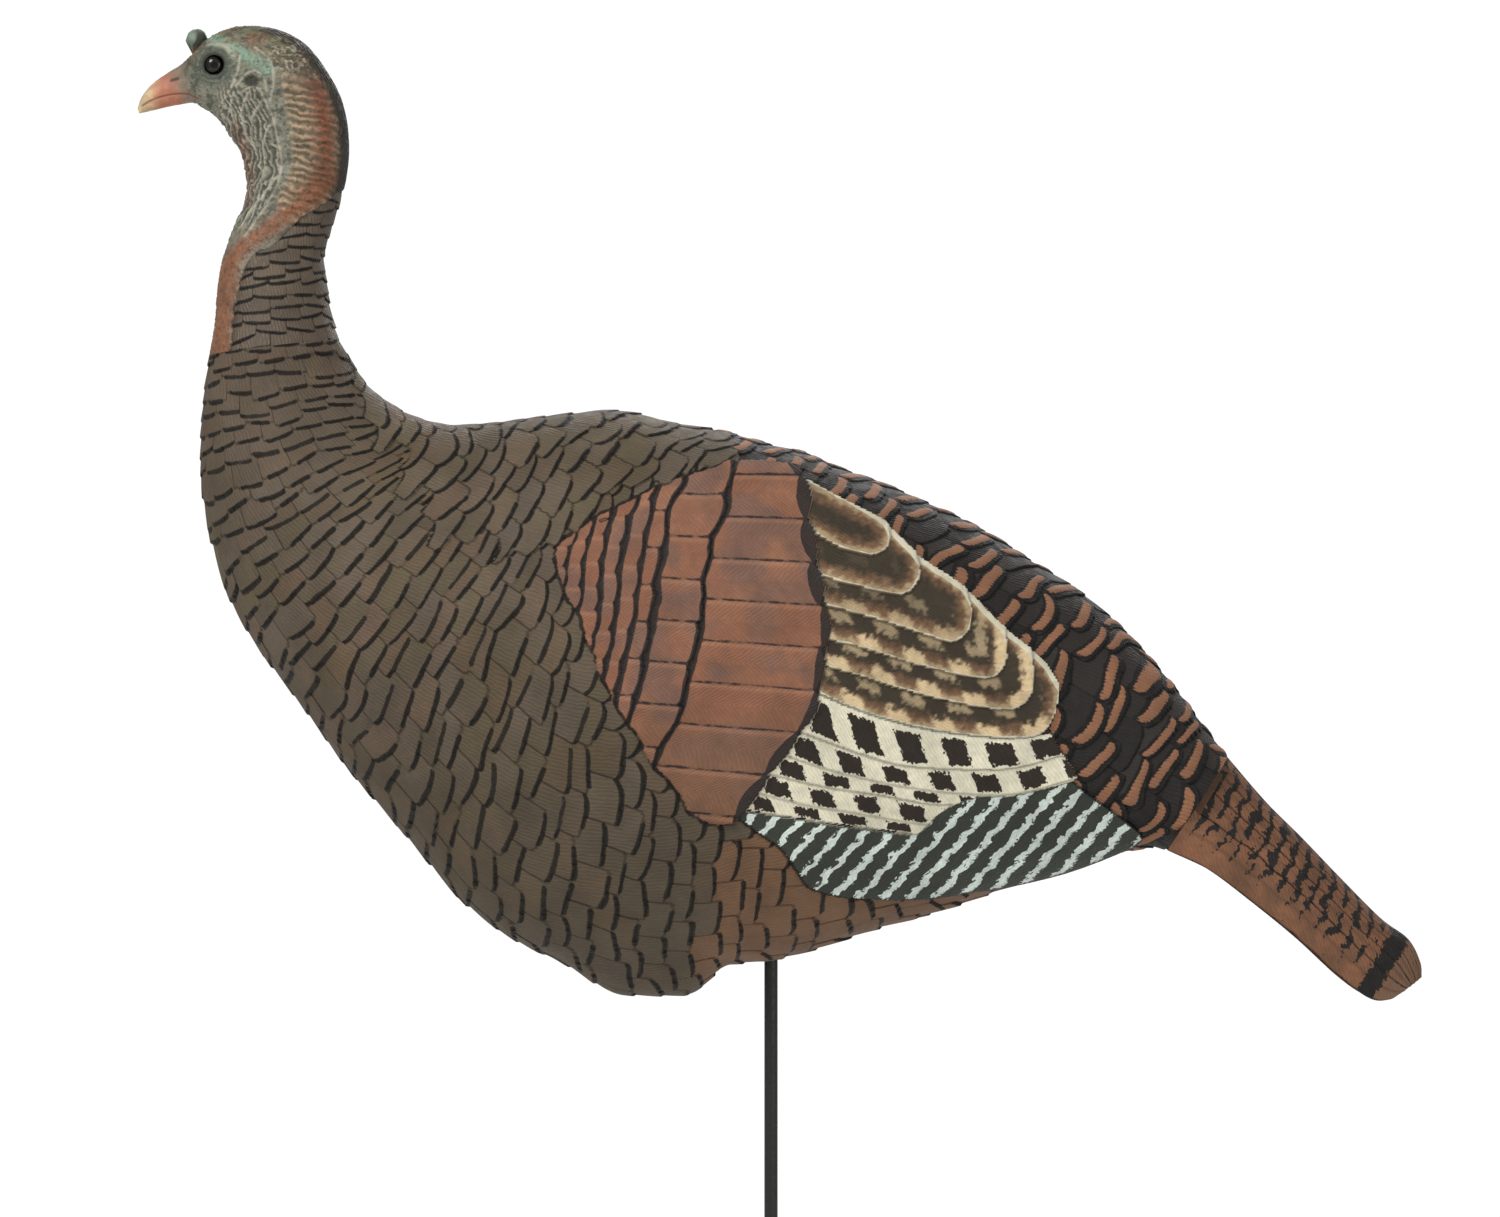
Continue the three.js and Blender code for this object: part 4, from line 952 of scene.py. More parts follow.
def head_parts(side, grain):
    """Where the head's parts lie, as shares from 0 to 1, and the distances in mm that shape them."""
    xz = side.points[..., [0, 2]]
    x, z = xz[..., 0], xz[..., 1]
    middle, large = grain[6.0], grain[18.0]
    eye, eye_radius, _ = eye_place()
    behind = x - across_line(LONG_RIDGE, z)
    m = SimpleNamespace(xz=xz, x=x, z=z, from_nape=(1 - side.around) * side.girth[:, None])
    m.from_eye = np.linalg.norm(xz - eye, axis=-1)
    m.feathered = inside(xz + 1.2 * middle[..., None], np.vstack([curve(SKIN_EDGE), SKIN_CLOSING]))
    cheek_ends = (1 - smooth(*CHEEK["top"], z)) * smooth(*CHEEK["foot"], z)
    m.cheek = smooth(*CHEEK["front"], x) * (1 - smooth(*CHEEK["back"], behind)) * cheek_ends
    m.droop = bands(behind + 3.4 * large + 1.6 * middle, CHEEK_FOLD)
    nape_reach = 1 - smooth(*NAPE["reach"], distance_to(xz, curve(NAPE_MIDDLE)))
    m.nape = nape_reach * smooth(*NAPE["front"], behind) * smooth(*NAPE["back"], m.from_nape)
    m.fold = bands(z + 0.16 * (x + 275) + 2.6 * large + 1.1 * middle, NAPE_FOLD)
    m.net = 1 - np.abs(middle) * 2.2
    m.upper = smooth(*NAPE["netted_above"], z) * smooth(*NAPE["netted_behind"], x)
    m.beak = (1 - smooth(*BEAK["root"], x + 0.25 * (z - 785))) * smooth(*BEAK["foot"], z)
    m.ear_hole = 1 - smooth(*EAR_HOLE, np.linalg.norm((xz - EAR) * EAR_SHAPE, axis=-1))
    m.mouth, m.nostril = on_line(xz, MOUTH, 0.7), on_line(xz, NOSTRIL, 0.9)
    m.lids = fade(m.from_eye - eye_radius - 2.0, 1.1) + 0.7 * fade(m.from_eye - eye_radius - 4.9, 1.0)
    m.hair = 1 - smooth(*HAIR_STRIP["reach"], m.from_nape + 2.5 * middle)
    m.hair *= smooth(*HAIR_STRIP["foot"], z) * smooth(*HAIR_STRIP["front"], x)
    m.strand = bands(m.from_nape + 0.35 * side.travel + 2.0 * middle, HAIR_STRAND)
    m.band = on_line(xz, ORANGE_BAND, 5.0 + 4.0 * (1 - smooth(672, 694, z))) * ~m.feathered
    m.ridges = []
    for line, high, wide in SKIN_RIDGES:
        m.ridges.append((high, fade(distance_to(xz, curve(line)) + 0.5 * middle, wide)))
    return m


def skin_height(m, grain):
    """Relief in mm: cobbles, drooping wrinkles on the cheek, folds across the nape, lids, beak and hair."""
    _, eye_radius, _ = eye_place()
    cobble = np.abs(grain[2.4]) * (1 - m.cheek) * (1 - m.nape)
    vein = 1 - smooth(0.0, 0.22, np.abs(grain[6.0]))
    folds = m.fold * (1 - m.upper) + np.clip(m.net, 0, 1) * m.upper
    height = 0.7 * cobble + 0.35 * vein * (1 - m.nape) + 0.8 * m.cheek * m.droop + 1.4 * m.nape * folds
    height += 0.25 * grain[18.0]
    for high, ridge in m.ridges:
        height += high * ridge
    height = height * (1 - m.beak) + m.beak * 0.12 * grain[6.0]
    height -= 1.7 * m.ear_hole
    height -= 0.7 * m.mouth + 0.8 * m.nostril
    height = height * smooth(eye_radius + 1, eye_radius + 6, m.from_eye) + 1.1 * m.lids
    height = height * (1 - m.hair) + m.hair * (0.5 + 0.5 * m.strand)
    return height + 1.0 * m.band


def skin_colour(m, grain):
    """The bare skin's paint, laid on in layers: a colour and how much it covers, with painted highlight on the
    raised relief and painted shade in its hollows.
    """
    small, middle, large = grain[2.4], grain[6.0], grain[18.0]
    _, eye_radius, _ = eye_place()
    # Where the raised ridges stand highest, for the painted highlight on their tops.
    ridge_highlight = np.maximum.reduce([ridge for _, ridge in m.ridges])
    rust = on_line(m.xz, NAPE_ORANGE, 7.5)
    # The nape's fold colours, with painted shade in the valleys between the folds.
    folds = blend(blend(NAPE_CREAM, NAPE_RUST, rust), SKIN_DARK, 0.8 * (1 - m.fold) * (1 - 0.45 * rust))
    vein = (1 - smooth(0.0, 0.16, np.abs(middle))) * (1 - m.nape) * (1 - m.beak) * (1 - m.band)
    rose = blend(BEAK_TIP, BEAK_ROSE, smooth(-376, -364, m.x + 2 * middle))
    rose = blend(rose, SKIN_GREY, 0.75 * smooth(-361, -349, m.x + 0.6 * (m.z - 790) + 3 * middle))
    colour = np.broadcast_to(SKIN_GREY, (*m.x.shape, 3))
    for tint, share in (
        (CROWN, smooth(796, 812, m.z)),
        (CROWN_BROWN, smooth(0.0, 0.5, large + 0.2) * smooth(800, 815, m.z)),
        (SKIN_GREY * 1.25, 0.5 * m.cheek),
        (SKIN_DARK * 1.3, 0.75 * smooth(-0.1, 0.5, middle) * (1 - m.cheek)),
        (FACE_GREEN, 0.8 * (1 - smooth(9, 17, m.from_eye))),
        (SKIN_DARK, 0.5 * (1 - smooth(7, 13, m.from_eye + 3 * middle))),
        (TEAL, 0.85 * on_line(m.xz, TEAL_PATCH, 4.2) * smooth(-0.6, 0.3, middle + 0.3)),
        (THROAT, 0.8 * on_line(m.xz, THROAT_RED, 3.6)),
        # Painted shade in the cheek's wrinkle valleys, then painted highlight on their crests.
        (SKIN_DARK * 0.8, 0.85 * m.cheek * (1 - m.droop)),
        (SKIN_HIGHLIGHT, 0.6 * m.cheek * smooth(0.6, 1.0, m.droop) * smooth(-0.5, 0.3, middle)),
        (folds, m.nape * (1 - 0.6 * m.upper)),
        # Painted shade between the raised net of the upper nape, then painted highlight on the net.
        (SKIN_DARK, 0.6 * m.nape * m.upper * (1 - smooth(0.2, 0.7, m.net))),
        (SKIN_HIGHLIGHT, 0.7 * m.nape * m.upper * smooth(0.6, 0.95, m.net)),
        (BAND_ORANGE, 1.2 * m.band * smooth(-0.8, 0.0, middle + 0.25)),
        (SKIN_DARK, 0.4 * m.band * smooth(0.2, 0.6, middle)),
        # Painted highlight on the tops of the raised ridges.
        (SKIN_HIGHLIGHT, 0.7 * ridge_highlight * (1 - m.beak) * smooth(9, 12, m.from_eye)),
        # Painted highlight along the raised veins.
        (SKIN_HIGHLIGHT, 0.22 * vein * smooth(-0.4, 0.3, large + 0.2)),
        (SKIN_DARK, 0.6 * smooth(0.2, 0.6, small) * (1 - m.beak)),
        (HAIR, 0.9 * m.hair),
        # Painted shade between the raised hair strands.
        (HAIR * 0.5, 0.7 * m.hair * (1 - m.strand)),
        (rose, m.beak),
        # Painted shade in the sunken ear hole and nostril.
        (SKIN_DARK * 0.6, np.maximum(0.9 * m.ear_hole, 0.8 * m.nostril)),
        (NAPE_RUST, 0.8 * m.mouth),
        (SKIN_DARK * 0.7, 1 - smooth(eye_radius, eye_radius + 3.4, m.from_eye)),
    ):
        colour = blend(colour, tint, share)
    return colour


def seat_eye(outer, m):
    """Gives the eye's socket a flat floor behind the eye and a straight wall round it."""
    eye, eye_radius, eye_depth = eye_place()
    past_rim = m.from_eye - eye_radius
    floor = past_rim < SOCKET["floor"]
    wall = (past_rim < SOCKET["wall_to"]) & (past_rim > SOCKET["wall_from"])
    radius = np.where(floor, eye_radius + SOCKET["floor_rim"], eye_radius + SOCKET["wall_rim"])
    turn = (m.xz - eye) / np.maximum(m.from_eye, 1e-6)[..., None]
    rounded = eye + turn * radius[..., None]
    outer[..., 0] = np.where(wall, rounded[..., 0], outer[..., 0])
    outer[..., 2] = np.where(wall, rounded[..., 1], outer[..., 2])
    outer[..., 1] = np.where(floor, -(eye_depth - SOCKET["sink"]), outer[..., 1])


def head_side(rows, columns):
    """The head's left side: its relief and paint. Its rows run from the neck joint to the tip of the beak."""
    side = Side(HEAD_SECTIONS, rows, columns)
    points = side.points
    grain = {size: cloud(points, size, 3, size) for size in (2.4, 6.0, 18.0)}
    m = head_parts(side, grain)
    height = skin_height(m, grain)
    coat = Coat(points.shape[:2], skin_colour(m, grain), SKIN_DARK, SKIN_DARK)

    # Feather rows on the neck run down to the joint.
    rho = NECK_ROWS - side.travel / NECK_ROW + 0.14 * cloud(points, 30, 2)
    columns_of = even_columns(side.around, side.girth, rho, lambda row: NECK_WIDTH)
    f = shingle(rho, NECK_ROW, columns_of, seed=SEEDS["neck"], tilt=0.5)
    edge_gap = distance_to(m.xz, curve(SKIN_EDGE))
    height = np.where(m.feathered, shingle_height(f) * smooth(0, 4, edge_gap), height)
    down = blend(NECK_FEATHER, NECK_BROWN, 0.5 + 0.6 * grain[18.0]) * (0.88 + 0.24 * f["twist"])[..., None]
    stroke, edge = strokes(f, 1.0, np.maximum(f["ink"], f["luck"] > 0.4))
    coat.put(m.feathered, base=down, line=STROKE, mark_in=-BEYOND, edge=edge, line_in=stroke,
             barb=along_barbs(f))

    outer, snood = raise_snood(points + along_joint(side) * height[..., None])
    outer[..., 2] += np.where(snood, 0.9 * grain[6.0] + 0.5 * grain[2.4], 0)
    nub = blend(SKIN_GREY, TEAL * 0.7, 0.5 + grain[18.0])
    nub = blend(nub, SKIN_DARK * 0.8, smooth(-0.25, 0.35, grain[6.0]) + 1 - smooth(814, 822, outer[..., 2]))
    coat.put(snood, base=nub)
    seat_eye(outer, m)
    depth = WALL + SOCKET_BACKING * (1 - smooth(8, 16, m.from_eye))
    return side, outer, points - side.normals * depth[..., None], coat


def along_joint(side):
    """The surface's normals, turned square to the neck's axis near the joint: no relief crosses it."""
    axis = np.array(next(j["axis"] for j in frame["joints"] if j["name"] == "head_turn"))
    hold = 1 - smooth(0, 10, side.travel)
    return side.normals - (side.normals @ axis * hold)[..., None] * axis


# ------------------------------------------------------------------ the tail, in mm

# Each row is the lower edges' x, z and the ridge's x, z, and the half width.
TAIL_SECTIONS = [
    (236, 336, 272, 391, 40),
    (263, 323, 296, 363, 38),
    (290, 303, 317, 342, 38),
    (317, 281, 341, 317, 39),
    (342, 258, 365, 293, 38),
    (358, 247, 381, 281, 29),
    (370, 246, 388, 268, 15),
    (377, 249, 389, 259, 7),
]
TAIL_ROOF = [(1.0, 0.0), (0.96, 0.3), (0.8, 0.62), (0.5, 0.87), (0.25, 0.965), (0.0, 1.0)]
TAIL_THICKNESS = 4.5
# The feathers' edges, in shares of the way down from the ridge.
TAIL_STRIPS = [0.0, 0.15, 0.31, 0.48, 0.66, 1.0]
TAIL_CHEVRON = 0.22  # how steeply the bars lean back on each side of a shaft
TAIL_LEAN = 0.15  # how steeply each bar leans towards the tip on its way down from the ridge
TAIL_BAR = 10.5  # spacing of the bars, mm, and half the width of one
TAIL_BAR_HALF = 2.1
TAIL_SHAFT = 0.45  # where a tail feather's shaft lies across its width
TAIL_BAND = (24.0, 37.0)  # the dark band, in mm from the tip


def tail_grid(rows, columns):
    """The left half of the folded tail's upper surface and underside, from its lower edge to its ridge."""
    s = spline(TAIL_SECTIONS, np.linspace(0, 1, rows))
    roof = spline(TAIL_ROOF, np.linspace(0, 1, columns))
    low, high, half = s[:, None, 0:2], s[:, None, 2:4], s[:, None, 4]
    thickness = TAIL_THICKNESS * (1 - 0.5 * np.linspace(0, 1, rows))[:, None]
    length = np.linalg.norm(high - low, axis=-1)
    under = 1 - 1.2 * np.minimum(thickness / length, 0.3)
    sheets = []
    for sink, width in ((1.0, half), (under, np.maximum(half - thickness, 0.3 * half))):
        place = low + (high - low) * (roof[None, :, 1] * sink)[..., None]
        sheets.append(np.stack([place[..., 0], -width * roof[None, :, 0], place[..., 1]], axis=-1))
    return sheets


def tail_side(rows, columns):
    """The left half of the tail: its top with its relief, its underside and its paint."""
    top, under = tail_grid(rows, columns)
    along = lengths(top, 0)[:, columns // 2][:, None] + np.zeros((rows, columns))
    total = along[-1, 0]
    across = lengths(top, 1)
    spread = across[:, -1:]
    down = 1 - across / spread
    grain = {size: cloud(top, size, 3, size) for size in (3.0, 14.0)}
    edges = np.array(TAIL_STRIPS)
    shifted = np.clip(down + 0.012 * grain[14.0] - 0.10 * (along / total - 0.3) * (1 - down), 0, 0.999)
    strip = np.searchsorted(edges, shifted, side="right") - 1
    width = np.diff(edges)[strip] * spread
    into = (shifted - edges[strip]) * spread
    step_gap = np.minimum(into, width - into)
    shaft = np.abs(into - TAIL_SHAFT * width)
    normal = grid_normals(top)
    normal[:, -1, 1] = 0
    height = 1.5 - 0.28 * strip - 0.5 * np.clip(into / width, 0, 1) + 0.25 * fade(shaft, 0.6)

    from_tip = total - along
    slant = along + 1.2 * grain[3.0] + 3.4 * grain[14.0] - TAIL_LEAN * down * spread
    slant += TAIL_CHEVRON * np.where(into < TAIL_SHAFT * width, into, 2 * TAIL_SHAFT * width - into)
    phase = slant / TAIL_BAR
    bar = TAIL_BAR_HALF + 0.9 * grain[3.0] - np.abs(phase - np.round(phase)) * TAIL_BAR
    bar -= 3 * (np.abs(cloud(top, 9, 2, 5.0)) > 0.62) + 2.8 * smooth(0.68, 0.92, down)
    bar = np.where(from_tip < TAIL_BAND[1] + 4, -BEYOND, bar)
    band = np.minimum(from_tip - TAIL_BAND[0], TAIL_BAND[1] - from_tip) + 2.2 * grain[3.0]
    colour = blend(TAIL_BROWN, TAIL_RUST, 0.5 + 0.9 * grain[14.0])
    colour = blend(colour, TAIL_TAN, 1 - smooth(TAIL_BAND[0] - 2, TAIL_BAND[0] + 2, from_tip))
    colour = blend(colour, TAIL_BROWN * 0.72, 0.6 * fade(shaft, 1.1))
    coat = Coat((rows, columns), colour, TAIL_DARK, TAIL_DARK)
    coat.put(..., line_in=0.3 - step_gap, mark_in=np.maximum(bar, band), edge=step_gap,
             barb=into * 0.8 - along * 0.5)
    return top + normal * height[..., None], under, coat


# ------------------------------------------------------------------ meshes


def outward(points, faces):
    """A closed shell's faces, turned so that their normals point out of it."""
    fans = np.array([(f[0], f[k], f[k + 1]) for f in faces for k in range(1, len(f) - 1)])
    a, b, c = (points[fans[:, k]] for k in range(3))
    volume = np.einsum("ij,ij->i", a, np.cross(b, c)).sum()
    return [f[::-1] for f in faces] if volume < 0 else faces


def new_mesh(name, points, faces, material, attributes=None, colours=None):
    """A piece from points in mm and lists of faces, turned the right way out and smooth shaded."""
    mesh = bpy.data.meshes.new(name)
    mesh.from_pydata((points * MM).tolist(), [], outward(points, faces))
    mesh.polygons.foreach_set("use_smooth", np.ones(len(mesh.polygons), bool))
    mesh.set_sharp_from_angle(angle=math.radians(SHARP_ANGLE))
    for key, values in (attributes or {}).items():
        layer = mesh.attributes.new(key, "FLOAT", "POINT")
        layer.data.foreach_set("value", np.ascontiguousarray(values, np.float32))
    for key, values in (colours or {}).items():
        layer = mesh.attributes.new(key, "FLOAT_COLOR", "POINT")
        rgba = np.column_stack([values, np.ones(len(values))])
        layer.data.foreach_set("color", np.ascontiguousarray(rgba, np.float32).ravel())
    mesh.materials.append(material)
    piece = bpy.data.objects.new(name, mesh)
    bpy.context.scene.collection.objects.link(piece)
    return piece


def grid_faces(rows, columns, start=0, flip=False, closed=False):
    """Quads between rows of points. Closed rows are rings."""
    i, j = np.meshgrid(np.arange(rows - 1), np.arange(columns - 1 + closed), indexing="ij")
    a, b = start + i * columns + j, start + i * columns + (j + 1) % columns
    quads = np.stack([a, a + columns, b + columns, b], axis=-1).reshape(-1, 4)
    return (quads[:, ::-1] if flip else quads).tolist()


def rim_faces(ring, few_ring, step):
    """Faces between a closed line of points and one that has only every step-th point."""
    faces = []
    for k, point in enumerate(few_ring):
        fine = [ring[(k * step + n) % len(ring)] for n in range(step + 1)]
        faces.append([*fine, few_ring[(k + 1) % len(few_ring)], point])
    return faces


def border(rows, columns):
    """The grid's border as row and column numbers, once round."""
    top = [(0, j) for j in range(columns)]
    right = [(i, columns - 1) for i in range(1, rows)]
    low = [(rows - 1, j) for j in range(columns - 2, -1, -1)]
    left = [(i, 0) for i in range(rows - 2, 0, -1)]
    return top + right + low + left


def walled(outer, inner, step):
    """Points and faces of a closed wall: an outer grid, an inner one of every step-th point, and the rim."""
    rows, columns = outer.shape[:2]
    few_rows, few_columns = inner.shape[:2]
    start = rows * columns
    faces = grid_faces(rows, columns) + grid_faces(few_rows, few_columns, start, flip=True)
    ring = [i * columns + j for i, j in border(rows, columns)]
    inner_ring = [start + i * few_columns + j for i, j in border(few_rows, few_columns)]
    faces += rim_faces(ring, inner_ring, step)
    return np.vstack([outer.reshape(-1, 3), inner.reshape(-1, 3)]), faces


def both_sides(left):
    """A left half grid carried on round the right side, so that its rows become closed rings."""
    return np.concatenate([left, left[:, -2:0:-1]], axis=1)


def over_ridge(left):
    """A left half grid carried over its ridge and down to the right side's edge."""
    return np.concatenate([left, left[:, -2::-1]], axis=1)


def mirrored(left, carry):
    """A left half grid of points with its mirror image, carried on by both_sides or over_ridge."""
    whole = carry(left)
    whole[:, left.shape[1]:, 1] *= -1
    return whole


def tube(outer, inner, step):
    """Points and faces of a hollow skin: rings open at the first row, and closed by a face at the last."""
    rows, around = outer.shape[:2]
    few_rows, few = inner.shape[:2]
    start = rows * around
    faces = grid_faces(rows, around, closed=True) + grid_faces(few_rows, few, start, flip=True, closed=True)
    faces.append([(rows - 1) * around + j for j in range(around)][::-1])
    faces.append([start + (few_rows - 1) * few + j for j in range(few)])
    faces += rim_faces(range(around), range(start, start + few), step)
    return np.vstack([outer.reshape(-1, 3), inner.reshape(-1, 3)]), faces


def coat_layers(coat, count, carry=None, plain_colour=PLASTIC):
    """The coat's values as mesh layers for count points: those after the grid's have one plain colour."""
    attributes, colours = {}, {}
    for key, plain in (("line_in", -BEYOND), ("mark_in", -BEYOND), ("barb", 0.0), ("edge", BEYOND)):
        values = getattr(coat, key)
        values = (carry(values) if carry else values).ravel()
        attributes[key] = np.concatenate([values, np.full(count - len(values), plain)])
    for key in ("base", "line", "mark"):
        values = getattr(coat, key)
        values = (carry(values) if carry else values).reshape(-1, 3)
        colours[key] = np.vstack([values, np.broadcast_to(plain_colour, (count - len(values), 3))])
    return attributes, colours


def joined(shells):
    """Several closed shells as one list of points and one of faces, each turned the right way out."""
    points, faces = [], []
    for places, around in shells:
        start = sum(len(p) for p in points)
        faces += [[start + i for i in face] for face in outward(places, around)]
        points.append(places)
    return np.vstack(points), faces


# ------------------------------------------------------------------ materials


class Tree:
    """A material's node tree, with short calls for the nodes that the materials use."""

    def __init__(self, name):
        self.material = bpy.data.materials.new(name)
        self.material.use_nodes = True
        self.nodes = self.material.node_tree.nodes
        self.links = self.material.node_tree.links
        self.shader = self.nodes["Principled BSDF"]
        self.coordinates = self.nodes.new("ShaderNodeTexCoord").outputs["Object"]

    def feed(self, socket, value):
        """Links a node's output to a socket, or sets a number or colour on it."""
        if isinstance(value, bpy.types.NodeSocket):
            self.links.new(value, socket)
        elif isinstance(value, (tuple, list, np.ndarray)):
            short_of_alpha = len(value) == 3 and len(socket.default_value) == 4
            socket.default_value = (*value, 1.0) if short_of_alpha else value
        else:
            socket.default_value = value

    def math(self, operation, a, b=0.0):
        node = self.nodes.new("ShaderNodeMath")
        node.operation = operation
        self.feed(node.inputs[0], a)
        self.feed(node.inputs[1], b)
        return node.outputs[0]

    def step(self, value, low, high, to_low=0.0, to_high=1.0):
        """A smooth step from one number to another as value goes from low to high."""
        node = self.nodes.new("ShaderNodeMapRange")
        node.interpolation_type = "SMOOTHSTEP"
        for socket, number in zip(node.inputs, (value, low, high, to_low, to_high)):
            self.feed(socket, number)
        return node.outputs[0]

    def mix(self, share, a, b, mode="MIX"):
        node = self.nodes.new("ShaderNodeMix")
        node.data_type = "RGBA"
        node.blend_type = mode
        self.feed(node.inputs[0], share)
        self.feed(node.inputs[6], a)
        self.feed(node.inputs[7], b)
        return node.outputs[2]

    def grey(self, value):
        """A number as a grey colour."""
        node = self.nodes.new("ShaderNodeCombineColor")
        for socket in node.inputs:
            self.feed(socket, value)
        return node.outputs["Color"]

    def layer(self, name, output="Fac"):
        node = self.nodes.new("ShaderNodeAttribute")
        node.attribute_name = name
        return node.outputs[output]

    def cloud(self, size_mm, detail=3.0, stretch=(1, 1, 1)):
        """Noise from 0 to 1 with lumps of about this size, fixed to the piece."""
        place = self.nodes.new("ShaderNodeMapping")
        self.links.new(self.coordinates, place.inputs["Vector"])
        place.inputs["Scale"].default_value = [k / (size_mm * MM) for k in stretch]
        node = self.nodes.new("ShaderNodeTexNoise")
        node.inputs["Scale"].default_value = 1.0
        node.inputs["Detail"].default_value = detail
        self.links.new(place.outputs["Vector"], node.inputs["Vector"])
        return node.outputs["Fac"]

    def bump(self, height, distance_mm, strength=1.0, under=None):
        node = self.nodes.new("ShaderNodeBump")
        node.inputs["Distance"].default_value = distance_mm * MM
        node.inputs["Strength"].default_value = strength
        self.links.new(height, node.inputs["Height"])
        if under is not None:
            self.links.new(under, node.inputs["Normal"])
        return node.outputs["Normal"]

    def finish(self, colour, roughness, normal=None, metallic=0.0):
        self.feed(self.shader.inputs["Base Color"], colour)
        self.feed(self.shader.inputs["Roughness"], roughness)
        self.feed(self.shader.inputs["Metallic"], metallic)
        if normal is not None:
            self.links.new(normal, self.shader.inputs["Normal"])
        return self.material


def feather_paint(name, barb_spacing=2.3, barb_depth=0.13, ragged=1.3, roughness=0.68):
    """Hand-painted moulded feathers: base colour, ragged marks, brush lines, painted shade in the creases, and
    barbs.
    """
    t = Tree(name)
    fine = t.cloud(1.6, 4.0)
    coarse = t.cloud(26, 3.0)
    speck = t.cloud(5.5, 4.0)
    barb = t.math("MULTIPLY", t.layer("barb"), 2 * math.pi / barb_spacing)
    wobble = t.math("MULTIPLY", speck, 11.0)
    wave = t.math("SINE", t.math("ADD", barb, wobble))
    jag = t.math("MULTIPLY", t.math("SUBTRACT", fine, 0.5), 2.4 * ragged)
    jag = t.math("ADD", jag, t.math("MULTIPLY", wave, 0.28 * ragged))
    mark = t.step(t.math("ADD", t.layer("mark_in"), jag), -0.3, 0.3)
    brush = t.math("MULTIPLY", t.math("SUBTRACT", speck, 0.5), 1.9)
    line = t.step(t.math("ADD", t.layer("line_in"), brush), -0.35, 0.35)
    colour = t.mix(mark, t.layer("base", "Color"), t.layer("mark", "Color"))
    colour = t.mix(t.math("MULTIPLY", line, 0.94), colour, t.layer("line", "Color"))
    streak = t.step(wave, -1.0, 1.0, 0.94, 1.05)
    cloudy = t.step(coarse, 0.3, 0.7, 0.88, 1.12)
    dusty = t.step(speck, 0.3, 0.7, 0.92, 1.08)
    # Painted shade: the colour darkens near each step of the relief, where a feather's tip lies over the one
    # beneath.
    crease_shade = t.step(t.layer("edge"), 0.0, 1.6, 0.68, 1.0)
    for shade in (streak, cloudy, dusty, crease_shade):
        colour = t.mix(1.0, colour, t.grey(shade), "MULTIPLY")
    rough = t.step(speck, 0.3, 0.7, roughness - 0.08, roughness + 0.1)
    t.shader.inputs["Specular IOR Level"].default_value = 0.3
    relief = t.bump(wave, barb_depth)
    relief = t.bump(t.cloud(2.4, 5.0), 0.25, 0.8, relief)
    return t.finish(colour, rough, relief)


def bare_material(name, colour, roughness, metallic=0.0, grain_mm=3.0, scratch=0.0):
    """Plain moulded plastic, nylon or painted steel, with a fine grain and uneven gloss."""
    t = Tree(name)
    grain = t.cloud(grain_mm, 4.0)
    worn = t.cloud(40, 3.0)
    shade = t.step(worn, 0.3, 0.7, 0.86, 1.1)
    tint = t.mix(1.0, colour, t.grey(shade), "MULTIPLY")
    rough = t.step(grain, 0.3, 0.7, max(0.05, roughness - 0.1), roughness + 0.1)
    fine = t.cloud(0.8, 3.0, (1, 1, 0.15)) if scratch else grain
    return t.finish(tint, rough, t.bump(fine, 0.05 + scratch), metallic)


# ------------------------------------------------------------------ camera, light and floor


BACKDROP = 1.05  # the plain white world as the camera sees it, and as a light
WORLD_LIGHT = 0.46
# Each lamp's name, place in m, size in m and power in W.
LAMPS = [
    ("key", (-1.7, -2.0, 2.5), 1.1, 66),
    ("fill", (1.9, -2.0, 0.9), 1.6, 20),
    ("back", (0.4, 2.4, 2.0), 1.8, 40),
]
FLOOR_RADIUS = 4.2  # m
FLOOR_GAP = 0.002  # how far the floor lies under the stake's point, m


def make_stage():
    """The camera, the white world, the lamps and the floor."""
    scene = bpy.context.scene
    scene.view_settings.view_transform = "Standard"
    camera = bpy.data.cameras.new("camera")
    camera.lens = LENS
    camera.sensor_width = SENSOR
    holder = bpy.data.objects.new("camera", camera)
    holder.location = (AIM + [0, -VIEW_DISTANCE, 0]) * MM
    holder.rotation_euler = (math.pi / 2, 0, 0)
    scene.collection.objects.link(holder)
    scene.camera = holder

    world = bpy.data.worlds.new("studio")
    world.use_nodes = True
    scene.world = world
    nodes, links = world.node_tree.nodes, world.node_tree.links
    path = nodes.new("ShaderNodeLightPath")
    strength = nodes.new("ShaderNodeMapRange")
    strength.inputs["To Min"].default_value = WORLD_LIGHT
    strength.inputs["To Max"].default_value = BACKDROP
    links.new(path.outputs["Is Camera Ray"], strength.inputs["Value"])
    nodes["Background"].inputs["Color"].default_value = (1, 1, 1, 1)
    links.new(strength.outputs["Result"], nodes["Background"].inputs["Strength"])

    for name, place, size, power in LAMPS:
        lamp = bpy.data.lights.new(name, "AREA")
        lamp.size = size
        lamp.energy = power
        stand = bpy.data.objects.new(name, lamp)
        stand.location = place
        aim = Vector(AIM * MM) - Vector(place)
        stand.rotation_euler = aim.to_track_quat("-Z", "Y").to_euler()
        scene.collection.objects.link(stand)

    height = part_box("stake_lower_rod")[0].z - FLOOR_GAP
    bpy.ops.mesh.primitive_circle_add(vertices=96, radius=FLOOR_RADIUS, fill_type="NGON",
                                      location=(0, 0, height))
    floor = bpy.context.object
    floor.name = "floor"
    t = Tree("floor_paper")
    tone = t.mix(t.step(t.cloud(300, 2.0), 0.3, 0.7), paint(228, 228, 226), paint(234, 234, 232))
    floor.data.materials.append(t.finish(tone, 0.9))


# ------------------------------------------------------------------ pieces


